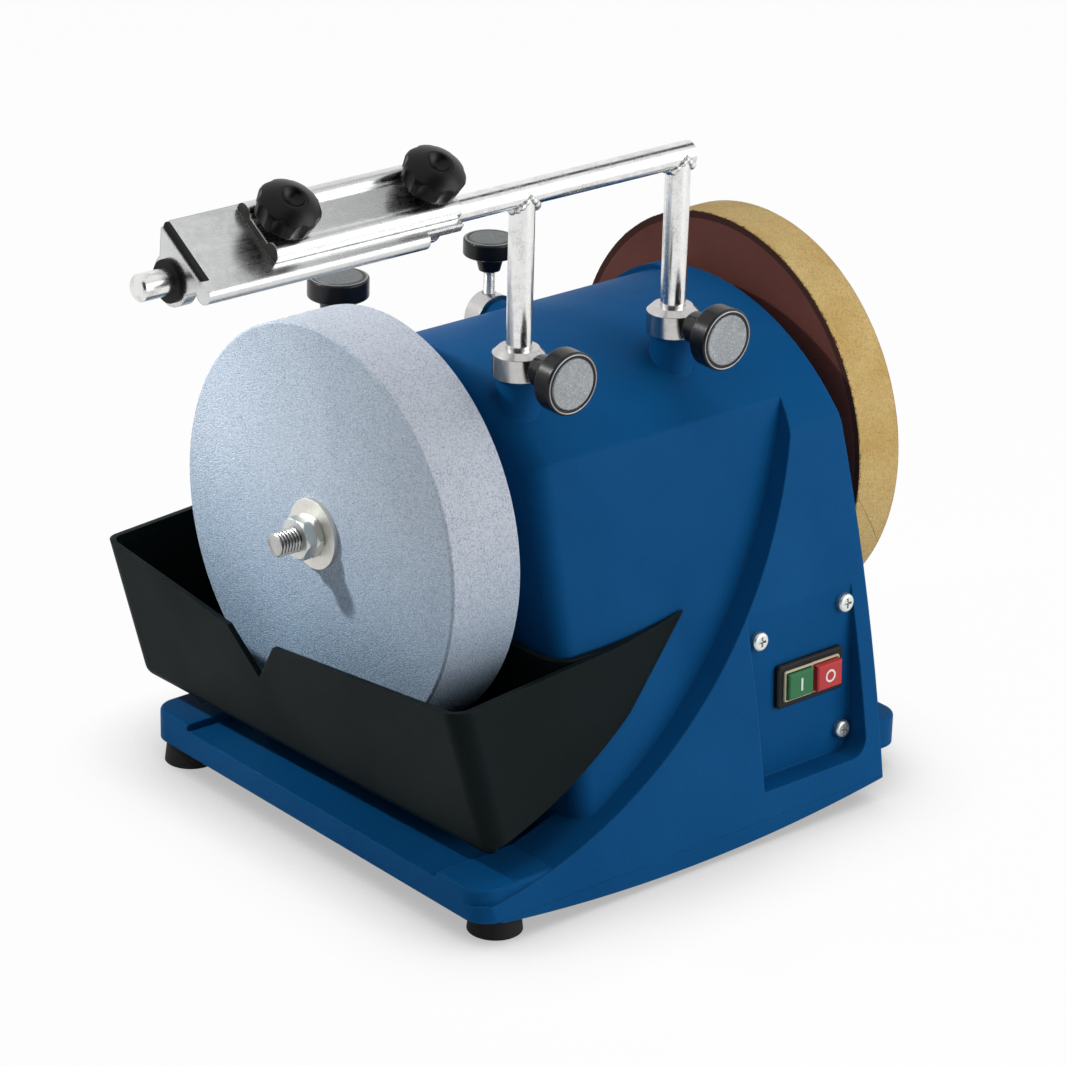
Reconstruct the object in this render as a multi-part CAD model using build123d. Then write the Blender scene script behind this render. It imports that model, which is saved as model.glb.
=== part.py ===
"""Wet sharpening machine with a 200 mm stone and a leather honing wheel.

Millimetres, +Z up. X runs along the shaft from the stone to the honing wheel and
the front, with the switch, faces -Y. Sizes are set out from the stone's outer
face (x = 0), the shaft axis (y = 0) and a level 150 mm below the shaft (z = 0).
On export every piece moves to the middle of the footprint, with the feet on z = 0.
"""
import math
import os

from build123d import *

# Stone, shaft and honing wheel
SHAFT_Z = 150.0
SHAFT_D = 12.0
SHAFT_X0 = -24.0
SHAFT_X1 = 300.0
STONE_D = 200.0
STONE_W = 40.0
FLANGE_D = 60.0
FLANGE_T = 7.0
WASHER_D = 34.0
WASHER_T = 2.5
NUT_AF = 19.0
NUT_T = 10.0
JAM_T = 4.2
HONE_X = 250.5
HONE_W = 26.5
HONE_D = 199.0
LEATHER_T = 3.5
BUSH_D = 18.0
BUSH_FLANGE_D = 24.0
BUSH_FLANGE_T = 2.0
BUSH_LENGTH = 20.0
BUSH_PLAY = 0.05
END_PLAY = 0.4

# Housing: one moulding with its base, open underneath
WALL = 4.0
BODY_X0 = 55.0
BODY_X1 = 236.0
CROWN_Y = -4.0
CROWN_TOP = 229.7
CROWN_R = 129.4
REAR_R = 78.0
REAR_SWEEP = 82.0
FRONT_TOP_Y = -90.0
FRONT_LEAN = 13.9
BODY_CORNER_R = 9.0
CREASE_R = 4.0
FIN_TOP_Y = -101.2
FIN_KNEE_Y = -103.4
FIN_KNEE_DROP = 3.6
FIN_MID_Y = -124.7
FIN_MID_Z = 110.0
FIN_FOOT_Y = -145.0
FIN_SWEEP_R = 260.0
FIN_SWEEP_X = -40.0
FIN_SWEEP_LOW = 16.6
BASE_X0 = -17.0
BASE_X1 = 271.0
BASE_Y0 = -142.0
BASE_Y1 = 110.0
BASE_STEP_Y = -123.0
BASE_Z0 = 10.0
BASE_Z1 = 25.5
BASE_CORNER_R = 12.0
BASE_EDGE_R = 1.8
BASE_SKIN = 6.5
RECESS_Y0 = -112.0
RECESS_Y1 = 80.0
RECESS_DEPTH = 3.0
LIP_X0 = 225.0
LIP_RISE = 3.0
VENT_X0 = 128.0
VENT_X1 = 196.0
VENT_Z0 = 62.0
VENT_H = 3.5
VENT_PITCH = 9.0
VENT_ROWS = 6
GLAND_X = 92.0
GLAND_Z = 46.0
GLAND_D = 12.0

# Underside
COVER_T = 1.5
COVER_GAP = 0.5
FOOT_D = 25.0
FOOT_H = 12.6
FEET = ((4.0, -129.0), (-2.5, 96.5), (253.0, -106.0), (253.0, 95.0))
MIDDLE_SCREWS = ((0.0, -17.0), (253.0, -5.0))
FOOT_SEAT = 5.4
BASE_BOSS_D = 10.0
BASE_SCREW_D = 4.0

# Switch panel, sunk in the front and leaning less than the face around it
PANEL_X = 192.5
PANEL_Y = -127.2
PANEL_Z = 64.0
PANEL_LEAN = 2.7
PANEL_W = 68.0
PANEL_LOW = 41.0
PANEL_HIGH = 46.0
PANEL_CORNER_R = 10.0
PANEL_SCREWS = ((-27.1, 31.0), (28.9, 35.8), (28.3, -29.8))
PANEL_SCREW_D = 5.0
PANEL_HEAD_D = 9.5
SWITCH_U = 5.6
SWITCH_V = 3.8
BEZEL_W = 43.0
BEZEL_H = 22.0
BEZEL_T = 3.0
SWITCH_W = 38.0
SWITCH_H = 17.0
SWITCH_DEPTH = 24.0
BUTTON_W = 16.0
BUTTON_H = 13.0
BUTTON_PITCH = 17.4
BUTTON_GAP = 0.35
BUTTON_RISE = 3.0
STOP_EXTRA = 1.5

# Tool support: a bar on two legs, clamped in collars
BAR_D = 12.0
BAR_X0 = -141.0
BAR_X1 = 171.0
BAR_Z = 317.5
LEG_Y = -60.0
LEG_X0 = 69.5
LEG_X1 = 163.7
LEG_END_Z = 203.0
COLLAR_D = 24.5
COLLAR_H = 13.5
COLLAR_CHAMFER = 2.8
COLLAR_BORE = 12.2
SPIGOT_D = 16.0
SPIGOT_L = 30.0
BOSS_D = 20.0
FRONT_COLLAR_Z = 231.0
REAR_COLLAR_Y = 66.5
REAR_COLLAR_Z = 199.7

# Thumbscrews of the collars
STUD_D = 6.0
STUD_HOLE = 6.7
TIP_GAP = 0.3
THUMB_D = 30.0
THUMB_NECK_D = 17.0
THUMB_H = 23.0
THUMB_HEAD_H = 10.0
SMALL_THUMB_D = 26.5
SMALL_NECK_D = 12.7
SMALL_THUMB_H = 16.5
SMALL_HEAD_H = 8.5
FRONT_FACE = 38.0
REAR_FACE = 40.5
CAP_T = 1.2
CAP_MARGIN = 2.6

# Clamping jig on the bar, drawn level and tilted about the bar
JIG_TILT = 32.7
JIG_X0 = -124.0
JIG_X1 = 14.0
JIG_PLATE_Z = 17.2
JIG_PLATE_T = 4.0
JIG_FRONT = -20.0
JIG_REAR = 18.0
JIG_EAR_T = 6.0
JIG_EAR_R = 11.5
JIG_LIP_R = 5.0
JIG_LIP_X1 = -6.0
JIG_BUSH_D = 16.0
JIG_BUSH_PLAY = 0.05
CLAMP_X0 = -86.0
CLAMP_X1 = 14.0
CLAMP_GAP = 0.3
CLAMP_T = 3.0
CLAMP_RIDGE_R = 4.5
CLAMP_RIDGE_Y = 11.5
JIG_STUD_X0 = -75.0
JIG_STUD_X1 = 3.8
JIG_STUD_Y = 0.0
STAR_D = 28.8
STAR_LOBES = 9
STAR_SCALLOP_D = 7.5
STAR_SCALLOP_OUT = 2.0
STAR_DOME_R = 24.0
STAR_H = 19.0
STAR_HEAD_H = 13.5
STAR_NECK_D = 13.0

# Water tray
TRAY_T = 3.0
TRAY_Z0 = 36.0
TRAY_Z1 = 111.0
TRAY_LEFT_TOP = -26.0
TRAY_LEFT_FOOT = -8.0
TRAY_LEFT_SKEW = 0.03
TRAY_RIGHT = 51.5
TRAY_REAR_TOP = 133.0
TRAY_REAR_FOOT = 126.0
TRAY_TIP_X = 128.0
TRAY_TIP_Y = -112.5
TRAY_END_X = 129.5
TRAY_RISE_X = 72.0
TRAY_TIP_RISE = 5.0
TRAY_SKEW = 0.121
TRAY_FRONT_LEAN = 0.12
TRAY_FIN_GAP = 22.0
TRAY_STEP_Y = -111.0
TRAY_BODY_GAP = 1.5
TRAY_CORNER_R = 9.0
TRAY_FLOOR_R = 7.0
TRAY_DIP_Z = 96.5
NOTCH_Y = 20.5
NOTCH_HALF = 17.0
NOTCH_Z = 73.5
RIB_T = 5.0
RIB_GAP = 0.2
RIB_INSET = 18.0

# Drive: motor roller against a rubber-tyred wheel on the shaft
WHEEL_D = 124.0
TYRE_T = 8.0
WHEEL_X = 88.0
WHEEL_W = 20.0
ROLLER_D = 12.0
ROLLER_GAP = 0.3
MOTOR_Y = -52.0
STATOR_D = 84.0
STATOR_BORE = 42.0
STATOR_L = 40.0
STATOR_X = 158.0
ROTOR_GAP = 0.6
SHIELD_L = 18.0
SHIELD_T = 3.0
MOTOR_SHAFT_D = 8.0
BEARING_D = 22.0
BEARING_W = 7.0
FAN_D = 62.0
BRACKET_T = 3.0
CAN_D = 32.0
CAN_H = 60.0
CAN_X = 150.0
CAN_Y = 50.0

# Footprint, whose middle is the origin of the finished part
X_MID = (BAR_X0 + SHAFT_X1) / 2
Y_MID = (FIN_FOOT_Y + TRAY_REAR_TOP + TRAY_SKEW * TRAY_RIGHT) / 2
TABLE_Z = BASE_Z0 - FOOT_H

FRONT_SLOPE = math.tan(math.radians(FRONT_LEAN))
CROWN_Z = CROWN_TOP - CROWN_R
FRONT_TOP_Z = CROWN_Z + math.sqrt(CROWN_R**2 - (CROWN_Y - FRONT_TOP_Y) ** 2)
FIN_TOP_Z = CROWN_Z + math.sqrt(CROWN_R**2 - (CROWN_Y - FIN_TOP_Y) ** 2)
FIN_KNEE_Z = FIN_TOP_Z - FIN_KNEE_DROP
FIN_SWEEP_Z = FIN_SWEEP_LOW + FIN_SWEEP_R
TRAY_SWEEP_R = FIN_SWEEP_R - TRAY_FIN_GAP
MOTOR_REACH = (WHEEL_D + ROLLER_D) / 2 + ROLLER_GAP
MOTOR_Z = SHAFT_Z - math.sqrt(MOTOR_REACH**2 - MOTOR_Y**2)
PANEL = Plane(
    origin=(PANEL_X, PANEL_Y, PANEL_Z),
    x_dir=(1, 0, 0),
    z_dir=(0, -math.cos(math.radians(PANEL_LEAN)), math.sin(math.radians(PANEL_LEAN))),
)
JIG = Location((0, LEG_Y, BAR_Z), (JIG_TILT, 0, 0))


def block(x0, x1, y0, y1, z0, z1):
    """Box between two corners."""
    centre = Pos((x0 + x1) / 2, (y0 + y1) / 2, (z0 + z1) / 2)
    return centre * Box(x1 - x0, y1 - y0, z1 - z0)


def rod_x(d, x0, x1, y=0.0, z=SHAFT_Z):
    """Cylinder along X."""
    return Pos((x0 + x1) / 2, y, z) * Rot(0, 90, 0) * Cylinder(d / 2, x1 - x0)


def rod_y(d, y0, y1, x, z):
    """Cylinder along Y."""
    return Pos(x, (y0 + y1) / 2, z) * Rot(90, 0, 0) * Cylinder(d / 2, y1 - y0)


def rod_z(d, z0, z1, x=0.0, y=0.0):
    """Cylinder along Z."""
    return Pos(x, y, (z0 + z1) / 2) * Cylinder(d / 2, z1 - z0)


def ring_x(outer, inner, x0, x1, y=0.0, z=SHAFT_Z):
    """Tube along X."""
    return rod_x(outer, x0, x1, y, z) - rod_x(inner, x0 - 1, x1 + 1, y, z)


def along_x(face, x0, x1):
    """Extrude a face drawn in (y, z) from x0 to x1."""
    return extrude(Plane.YZ.offset(x0) * face, x1 - x0)


def hex_nut(x0, x1, bore):
    """Hexagon nut with its axis on the shaft."""
    blank = extrude(Plane.YZ.offset(x0) * RegularPolygon(NUT_AF / math.sqrt(3), 6), x1 - x0)
    rounded = rod_x(NUT_AF * 1.12, x0, x1, 0, 0)
    rounded = chamfer(rounded.edges().filter_by(GeomType.CIRCLE), 1.2)
    return Pos(0, 0, SHAFT_Z) * (blank & rounded) - rod_x(bore, x0 - 1, x1 + 1)


def front_y(z, proud=0.0):
    """Front face of the body at height z, moved forward by proud."""
    return FRONT_TOP_Y - (FRONT_TOP_Z - z) * FRONT_SLOPE - proud


def rear_y(z):
    """Straight rear face of the body at height z."""
    rise = math.radians(90 - REAR_SWEEP)
    shoulder_y = CROWN_Y + REAR_R * math.cos(rise)
    shoulder_z = CROWN_TOP - REAR_R + REAR_R * math.sin(rise)
    return shoulder_y + (shoulder_z - z) * math.tan(rise)


def panel_y(z, behind):
    """Depth at height z of the plane that lies behind the panel."""
    lean = math.radians(PANEL_LEAN)
    return PANEL_Y + (z - PANEL_Z) * math.tan(lean) + behind / math.cos(lean)


def body_face():
    """Outline of the body across the shaft."""
    front_angle = math.degrees(math.asin((CROWN_Y - FRONT_TOP_Y) / CROWN_R))
    front = CenterArc((CROWN_Y, CROWN_Z), CROWN_R, 90, front_angle)
    rear = CenterArc((CROWN_Y, CROWN_TOP - REAR_R), REAR_R, 90 - REAR_SWEEP, REAR_SWEEP)
    corner = front @ 1
    shoulder = rear @ 0
    front_foot = (front_y(BASE_Z0), BASE_Z0)
    rear_foot = (rear_y(BASE_Z0), BASE_Z0)
    sides = [Line(front_foot, corner), Line(shoulder, rear_foot), Line(rear_foot, front_foot)]
    return make_face([front, rear] + sides)


def fin_face():
    """Outline of the switch side, which stands forward of the body."""
    top_angle = math.degrees(math.asin((CROWN_Y - FIN_TOP_Y) / CROWN_R))
    crown = CenterArc((CROWN_Y, CROWN_Z), CROWN_R, 110, top_angle - 20)
    top = crown @ 1
    back = crown @ 0
    foot = (FIN_FOOT_Y, BASE_Z0)
    heel = (back.X, BASE_Z0)
    knee = (FIN_KNEE_Y, FIN_KNEE_Z)
    face = ThreePointArc(knee, (FIN_MID_Y, FIN_MID_Z), foot)
    return make_face([crown, Line(top, knee), face, Line(foot, heel), Line(heel, back)])


def base_outline(inset):
    """Plan of the base, pulled in by inset."""
    x0 = BASE_X0 + inset
    x1 = BASE_X1 - inset
    step_x = BODY_X1 - inset
    y0 = BASE_Y0 + inset
    y1 = BASE_Y1 - inset
    step_y = BASE_STEP_Y + inset
    points = [(x0, y0), (step_x, y0), (step_x, step_y), (x1, step_y), (x1, y1), (x0, y1)]
    plan = make_face(Polyline(points, close=True))
    corners = [v for v in plan.vertices() if abs(v.X - step_x) > 0.1]
    return fillet(corners, max(BASE_CORNER_R - inset, 2.0))


def base_boss_spots():
    """Places where the underside is screwed up: four feet, then two between."""
    return list(FEET), list(MIDDLE_SCREWS)


def sweep_cylinder(radius):
    """Drum whose rim is the curved edge of the switch side, axis along Y."""
    return rod_y(2 * radius, -300, 300, FIN_SWEEP_X, FIN_SWEEP_Z)


def housing_outside():
    """Solid outer form of the housing."""
    body = along_x(body_face(), BODY_X0, BODY_X1)
    crease = body.edges().filter_by(Axis.X).sort_by_distance((BODY_X0, FRONT_TOP_Y, FRONT_TOP_Z))[0]
    body = fillet(crease, CREASE_R)
    left = body.edges().group_by(Axis.X)[0]
    left = left.filter_by(lambda e: e.center().Z > BASE_Z0 + 1)
    body = fillet(left, BODY_CORNER_R)
    fin = along_x(fin_face(), BASE_X0, BODY_X1) - sweep_cylinder(FIN_SWEEP_R)
    fin -= block(BASE_X0 - 1, BODY_X0, RECESS_Y0, CROWN_Y, BASE_Z0 - 1, CROWN_TOP)
    toe_width = BODY_X1 - BASE_X0
    toe_depth = CROWN_Y - FIN_FOOT_Y
    toe = make_face(
        Polyline(
            [
                (BASE_X0, FIN_FOOT_Y),
                (BASE_X0 + toe_width, FIN_FOOT_Y),
                (BASE_X0 + toe_width, FIN_FOOT_Y + toe_depth),
                (BASE_X0, FIN_FOOT_Y + toe_depth),
            ],
            close=True,
        )
    )
    toe = fillet(toe.vertices().sort_by_distance((BASE_X0, FIN_FOOT_Y, 0))[0], BASE_CORNER_R)
    fin = fin & extrude(Pos(0, 0, BASE_Z0) * toe, CROWN_TOP)
    base = extrude(Pos(0, 0, BASE_Z0) * base_outline(0), BASE_Z1 - BASE_Z0)
    base = fillet(base.edges().group_by(Axis.Z)[-1], BASE_EDGE_R)
    recess = block(
        BASE_X0 - 1, BODY_X0 + 1, RECESS_Y0, RECESS_Y1, BASE_Z1 - RECESS_DEPTH, BASE_Z1 + 1
    )
    base = base - recess
    lip_r = REAR_R + LIP_RISE
    lip = rod_x(2 * lip_r, LIP_X0, BODY_X1, CROWN_Y, CROWN_TOP - REAR_R)
    lip = lip & block(LIP_X0, BODY_X1, CROWN_Y + 4, CROWN_Y + lip_r, SHAFT_Z + 30, CROWN_TOP - 1)
    return body + fin + base + lip


def housing_inside():
    """Space inside the walls, open at the bottom."""
    x0 = BODY_X0 + WALL
    x1 = BODY_X1 - WALL
    body = along_x(offset(body_face(), -WALL), x0, x1)
    fin = along_x(offset(fin_face(), -WALL), x0, x1)
    fin = fin - sweep_cylinder(FIN_SWEEP_R + WALL)
    half = PANEL_W / 2 + WALL
    height = PANEL_LOW + PANEL_HIGH + 2 * WALL
    keep = PANEL * (Pos(0, (PANEL_HIGH - PANEL_LOW) / 2, 50 - WALL) * Box(2 * half, height, 100))
    well = extrude(Pos(0, 0, BASE_Z0 - 2) * base_outline(WALL), BASE_Z1 - BASE_SKIN - BASE_Z0 + 2)
    return (body + fin) - keep + well


def housing():
    """The moulded housing with its bosses, bores, panel and vents."""
    shell = housing_outside() - housing_inside()
    pad_r = BUSH_D / 2 + 6
    shell += rod_x(2 * pad_r, BODY_X0 + 1, BODY_X0 + BUSH_LENGTH)
    shell += rod_x(2 * pad_r, BODY_X1 - BUSH_LENGTH, BODY_X1 - 1)
    for x in (LEG_X0, LEG_X1):
        shell += rod_z(BOSS_D, FRONT_COLLAR_Z - SPIGOT_L, FRONT_COLLAR_Z, x, LEG_Y)
        shell += rod_y(BOSS_D, REAR_COLLAR_Y - SPIGOT_L, REAR_COLLAR_Y, x, REAR_COLLAR_Z)
    feet, middle = base_boss_spots()
    for x, y in feet + middle:
        shell += rod_z(BASE_BOSS_D, BASE_Z0 + COVER_T, BASE_Z1 - BASE_SKIN + 1, x, y)
    for x in (LEG_X0, LEG_X1):
        shell -= rod_z(SPIGOT_D, FRONT_COLLAR_Z - SPIGOT_L - 1, FRONT_COLLAR_Z + 1, x, LEG_Y)
        shell -= rod_y(SPIGOT_D, REAR_COLLAR_Y - SPIGOT_L - 1, REAR_COLLAR_Y + 1, x, REAR_COLLAR_Z)
    shell -= rod_x(BUSH_D, BODY_X0 - 1, BODY_X0 + BUSH_LENGTH + 1)
    shell -= rod_x(BUSH_D, BODY_X1 - BUSH_LENGTH - 1, BODY_X1 + 1)
    for x, y in feet + middle:
        shell -= rod_z(BASE_SCREW_D, BASE_Z0 - 1, BASE_Z1 - BASE_SKIN, x, y)
    height = PANEL_LOW + PANEL_HIGH
    sunk = Box(PANEL_W, height, 50)
    upright = sunk.edges().filter_by(Axis.Z)
    sunk = fillet(upright.sort_by_distance((PANEL_W, -height, 0))[0], PANEL_CORNER_R)
    shell -= PANEL * (Pos(0, (PANEL_HIGH - PANEL_LOW) / 2, 25) * sunk)
    shell -= PANEL * (Pos(SWITCH_U, SWITCH_V, 0) * Box(SWITCH_W, SWITCH_H, 4 * WALL))
    for u, v in PANEL_SCREWS:
        shell -= PANEL * (Pos(u, v, 0) * Cylinder(PANEL_SCREW_D / 2 + 0.2, 4 * WALL))
    for row in range(VENT_ROWS):
        z = VENT_Z0 + VENT_PITCH * row
        wall_y = rear_y(z)
        shell -= block(VENT_X0, VENT_X1, wall_y - 4 * WALL, wall_y + WALL, z, z + VENT_H)
    wall_y = rear_y(GLAND_Z)
    shell -= rod_y(GLAND_D, wall_y - 3 * WALL, wall_y + 3 * WALL, GLAND_X, GLAND_Z)
    return shell


def bottom_cover():
    """Sheet that closes the underside."""
    sheet = extrude(Pos(0, 0, BASE_Z0) * base_outline(WALL + COVER_GAP), COVER_T)
    feet, middle = base_boss_spots()
    for x, y in feet + middle:
        sheet -= rod_z(BASE_SCREW_D + 0.4, BASE_Z0 - 1, BASE_Z1, x, y)
    return sheet


def rubber_foot(x, y):
    """Foot with a well for its screw."""
    middle = (TABLE_Z + BASE_Z0) / 2
    foot = Pos(x, y, middle) * Cone(FOOT_D / 2 + 0.5, FOOT_D / 2 - 1, FOOT_H)
    foot -= rod_z(BASE_SCREW_D + 0.4, TABLE_Z - 1, BASE_Z0 + 1, x, y)
    foot -= rod_z(10.5, TABLE_Z - 1, TABLE_Z + FOOT_SEAT, x, y)
    return foot


def base_screw(x, y, seat):
    """Screw driven up through the cover, its head under seat."""
    head = rod_z(7.6, seat - 2.6, seat, x, y)
    slot = Pos(x, y, seat - 2.6) * (Box(4.6, 1.0, 2.0) + Box(1.0, 4.6, 2.0))
    return head - slot + rod_z(BASE_SCREW_D, seat, BASE_Z1 - BASE_SKIN - 1, x, y)


def base_screws():
    """All the underside screws."""
    feet, middle = base_boss_spots()
    pieces = [base_screw(x, y, TABLE_Z + FOOT_SEAT) for x, y in feet]
    return pieces + [base_screw(x, y, BASE_Z0) for x, y in middle]


def collar():
    """Clamping collar with its spigot, standing on z = 0 and bored through."""
    ring = rod_z(COLLAR_D, 0, COLLAR_H)
    ring = chamfer(ring.edges().group_by(Axis.Z)[-1], COLLAR_CHAMFER)
    ring += rod_z(SPIGOT_D, -SPIGOT_L, 0)
    ring -= rod_z(COLLAR_BORE, -SPIGOT_L - 1, COLLAR_H + 1)
    return ring - rod_y(STUD_HOLE, -COLLAR_D, 0, 0, COLLAR_H / 2)


def front_collar(x):
    """Upright collar for one leg of the support."""
    return Pos(x, LEG_Y, FRONT_COLLAR_Z) * collar()


def rear_collar(x):
    """Level collar at the back, its thumbscrew on top."""
    return Pos(x, REAR_COLLAR_Y, REAR_COLLAR_Z) * Rot(-90, 0, 0) * collar()


def thumb_frame(x, rear):
    """Plane whose normal runs out along a thumbscrew, origin on the collar's axis."""
    if rear:
        origin = (x, REAR_COLLAR_Y + COLLAR_H / 2, REAR_COLLAR_Z)
        return Plane(origin=origin, x_dir=(1, 0, 0), z_dir=(0, 0, 1))
    origin = (x, LEG_Y, FRONT_COLLAR_Z + COLLAR_H / 2)
    return Plane(origin=origin, x_dir=(1, 0, 0), z_dir=(0, -1, 0))


def thumb_knob(head_d, neck_d, height, head_h):
    """Moulded knob with its face on z = 0 and the neck below."""
    neck_h = height - head_h
    taper = Pos(0, 0, -head_h - neck_h / 2) * Cone(neck_d / 2 - 1, neck_d / 2 + 1, neck_h)
    head = rod_z(head_d, -head_h, 0)
    head = fillet(head.edges().filter_by(GeomType.CIRCLE), 1.0)
    knob = head + taper
    knob -= rod_z(head_d - 2 * CAP_MARGIN, -CAP_T, 1)
    return knob - rod_z(STUD_D + 0.5, -height - 1, -head_h / 2)


def thumbscrew(frame, face, small=False):
    """Knob, cap and stud of one thumbscrew, face being its reach from the axis."""
    head_d = SMALL_THUMB_D if small else THUMB_D
    neck_d = SMALL_NECK_D if small else THUMB_NECK_D
    height = SMALL_THUMB_H if small else THUMB_H
    head_h = SMALL_HEAD_H if small else THUMB_HEAD_H
    knob = frame * (Pos(0, 0, face) * thumb_knob(head_d, neck_d, height, head_h))
    cap_d = head_d - 2 * CAP_MARGIN
    cap = rod_z(cap_d - 0.3, face - CAP_T, face + 0.3)
    cap = frame * chamfer(cap.edges().group_by(Axis.Z)[-1], 0.5)
    tip = BAR_D / 2 + TIP_GAP
    stud = frame * rod_z(STUD_D, tip, face - head_h / 2 - 0.3)
    return knob, cap, stud


def support_leg(x):
    """Leg coped to the underside of the bar."""
    leg = rod_z(BAR_D, LEG_END_Z, BAR_Z, x, LEG_Y)
    leg = chamfer(leg.edges().group_by(Axis.Z)[0], 1.0)
    return leg - rod_x(BAR_D, x - 20, x + 20, LEG_Y, BAR_Z)


def support_bar():
    """Bar that carries the jigs."""
    bar = rod_x(BAR_D, BAR_X0, BAR_X1, LEG_Y, BAR_Z)
    return chamfer(bar.edges().filter_by(GeomType.CIRCLE), 1.0)


def jig_ear(x0, x1):
    """End wall of the jig round the bar."""
    top = JIG_PLATE_Z - JIG_PLATE_T / 2
    waist = JIG_EAR_R - 2.5
    wall = Polyline(
        [(JIG_REAR - 1, top), (JIG_FRONT + 1, top), (-waist, 0), (waist, 0)], close=True
    )
    return along_x(make_face(wall), x0, x1) + rod_x(2 * JIG_EAR_R, x0, x1, 0, 0)


def jig_base():
    """Casting that swings on the bar, with the plate a tool lies on."""
    under = JIG_PLATE_Z - JIG_PLATE_T
    plate = block(JIG_X0 + 4, JIG_X1, JIG_FRONT, JIG_REAR, under, JIG_PLATE_Z)
    casting = plate + rod_x(2 * JIG_LIP_R, JIG_X0, JIG_LIP_X1, JIG_FRONT + 1, under)
    casting -= block(JIG_X0 - 1, JIG_X1, JIG_FRONT - 9, JIG_FRONT + 9, JIG_PLATE_Z, JIG_PLATE_Z + 9)
    casting += jig_ear(JIG_X0, JIG_X0 + JIG_EAR_T) + jig_ear(JIG_X1 - JIG_EAR_T, JIG_X1)
    casting -= rod_x(JIG_BUSH_D + 2 * JIG_BUSH_PLAY, JIG_X0 - 1, JIG_X1 + 1, 0, 0)
    for x in (JIG_STUD_X0, JIG_STUD_X1):
        casting -= rod_z(STUD_D, 0, 40, x, JIG_STUD_Y)
    return JIG * casting


def jig_bush(x0, x1, flange_x):
    """Plastic bush in one ear, its flange outside the ear."""
    bush = rod_x(JIG_BUSH_D, x0, x1, 0, 0)
    bush += rod_x(JIG_BUSH_D + 3, flange_x, flange_x + 2, 0, 0)
    return JIG * (bush - rod_x(BAR_D + 2 * JIG_BUSH_PLAY, x0 - 9, x1 + 9, 0, 0))


def jig_clamp_plate():
    """Pressed plate that holds the tool down, ridged along both edges."""
    z0 = JIG_PLATE_Z + CLAMP_GAP
    half = CLAMP_RIDGE_Y + CLAMP_RIDGE_R
    plate = block(CLAMP_X0, CLAMP_X1, -half, half, z0, z0 + CLAMP_T)
    for y in (-CLAMP_RIDGE_Y, CLAMP_RIDGE_Y):
        ridge = rod_x(2 * CLAMP_RIDGE_R, CLAMP_X0, CLAMP_X1, y, z0 + 1.5)
        plate += ridge & block(CLAMP_X0, CLAMP_X1, -30, 30, z0, z0 + 20)
    for x in (JIG_STUD_X0, JIG_STUD_X1):
        plate -= rod_z(STUD_D + 0.8, 0, 60, x, JIG_STUD_Y)
    return JIG * plate


def star_knob(x):
    """Lobed hand knob on one stud of the jig."""
    z0 = JIG_PLATE_Z + CLAMP_GAP + CLAMP_T + 0.1
    neck_h = STAR_H - STAR_HEAD_H
    head = rod_z(STAR_D, z0 + neck_h, z0 + STAR_H)
    head = head & (Pos(0, 0, z0 + STAR_H - STAR_DOME_R) * Sphere(STAR_DOME_R))
    head = fillet(head.edges().filter_by(GeomType.CIRCLE), 2.0)
    reach = STAR_D / 2 + STAR_SCALLOP_OUT
    for i in range(STAR_LOBES):
        turn = Rot(0, 0, 360.0 * i / STAR_LOBES)
        head -= turn * rod_z(STAR_SCALLOP_D, z0 + neck_h - 1, z0 + STAR_H + 1, reach, 0)
    head -= Pos(0, 0, z0 + STAR_H + 4.5) * Sphere(7.0)
    knob = head + rod_z(STAR_NECK_D, z0, z0 + neck_h + 1)
    knob -= rod_z(STUD_D + 0.6, z0 - 1, z0 + STAR_H - 5)
    return JIG * (Pos(x, JIG_STUD_Y, 0) * knob)


def jig_stud(x):
    """Threaded stud fixed in the jig base."""
    under = JIG_PLATE_Z - JIG_PLATE_T
    return JIG * rod_z(STUD_D, under, JIG_PLATE_Z + 17.0, x, JIG_STUD_Y)


def tray_planes(t):
    """Left, front, rear and body-side planes of the tray, pulled in by t."""
    height = TRAY_Z1 - TRAY_Z0
    left = Plane(
        origin=(TRAY_LEFT_TOP + t, 0, TRAY_Z1),
        z_dir=(-height, -TRAY_LEFT_SKEW * height, TRAY_LEFT_TOP - TRAY_LEFT_FOOT),
    )
    front = Plane(
        origin=(TRAY_TIP_X, TRAY_TIP_Y + t, TRAY_Z1),
        z_dir=(TRAY_SKEW, -1, TRAY_FRONT_LEAN),
    )
    rear = Plane(
        origin=(0, TRAY_REAR_TOP - t, TRAY_Z1),
        z_dir=(-TRAY_SKEW * height, height, TRAY_REAR_FOOT - TRAY_REAR_TOP),
    )
    gap = TRAY_BODY_GAP + t
    side = Plane(origin=(0, front_y(TRAY_Z1, gap), TRAY_Z1), z_dir=(0, 1, -FRONT_SLOPE))
    return left, front, rear, side


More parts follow.
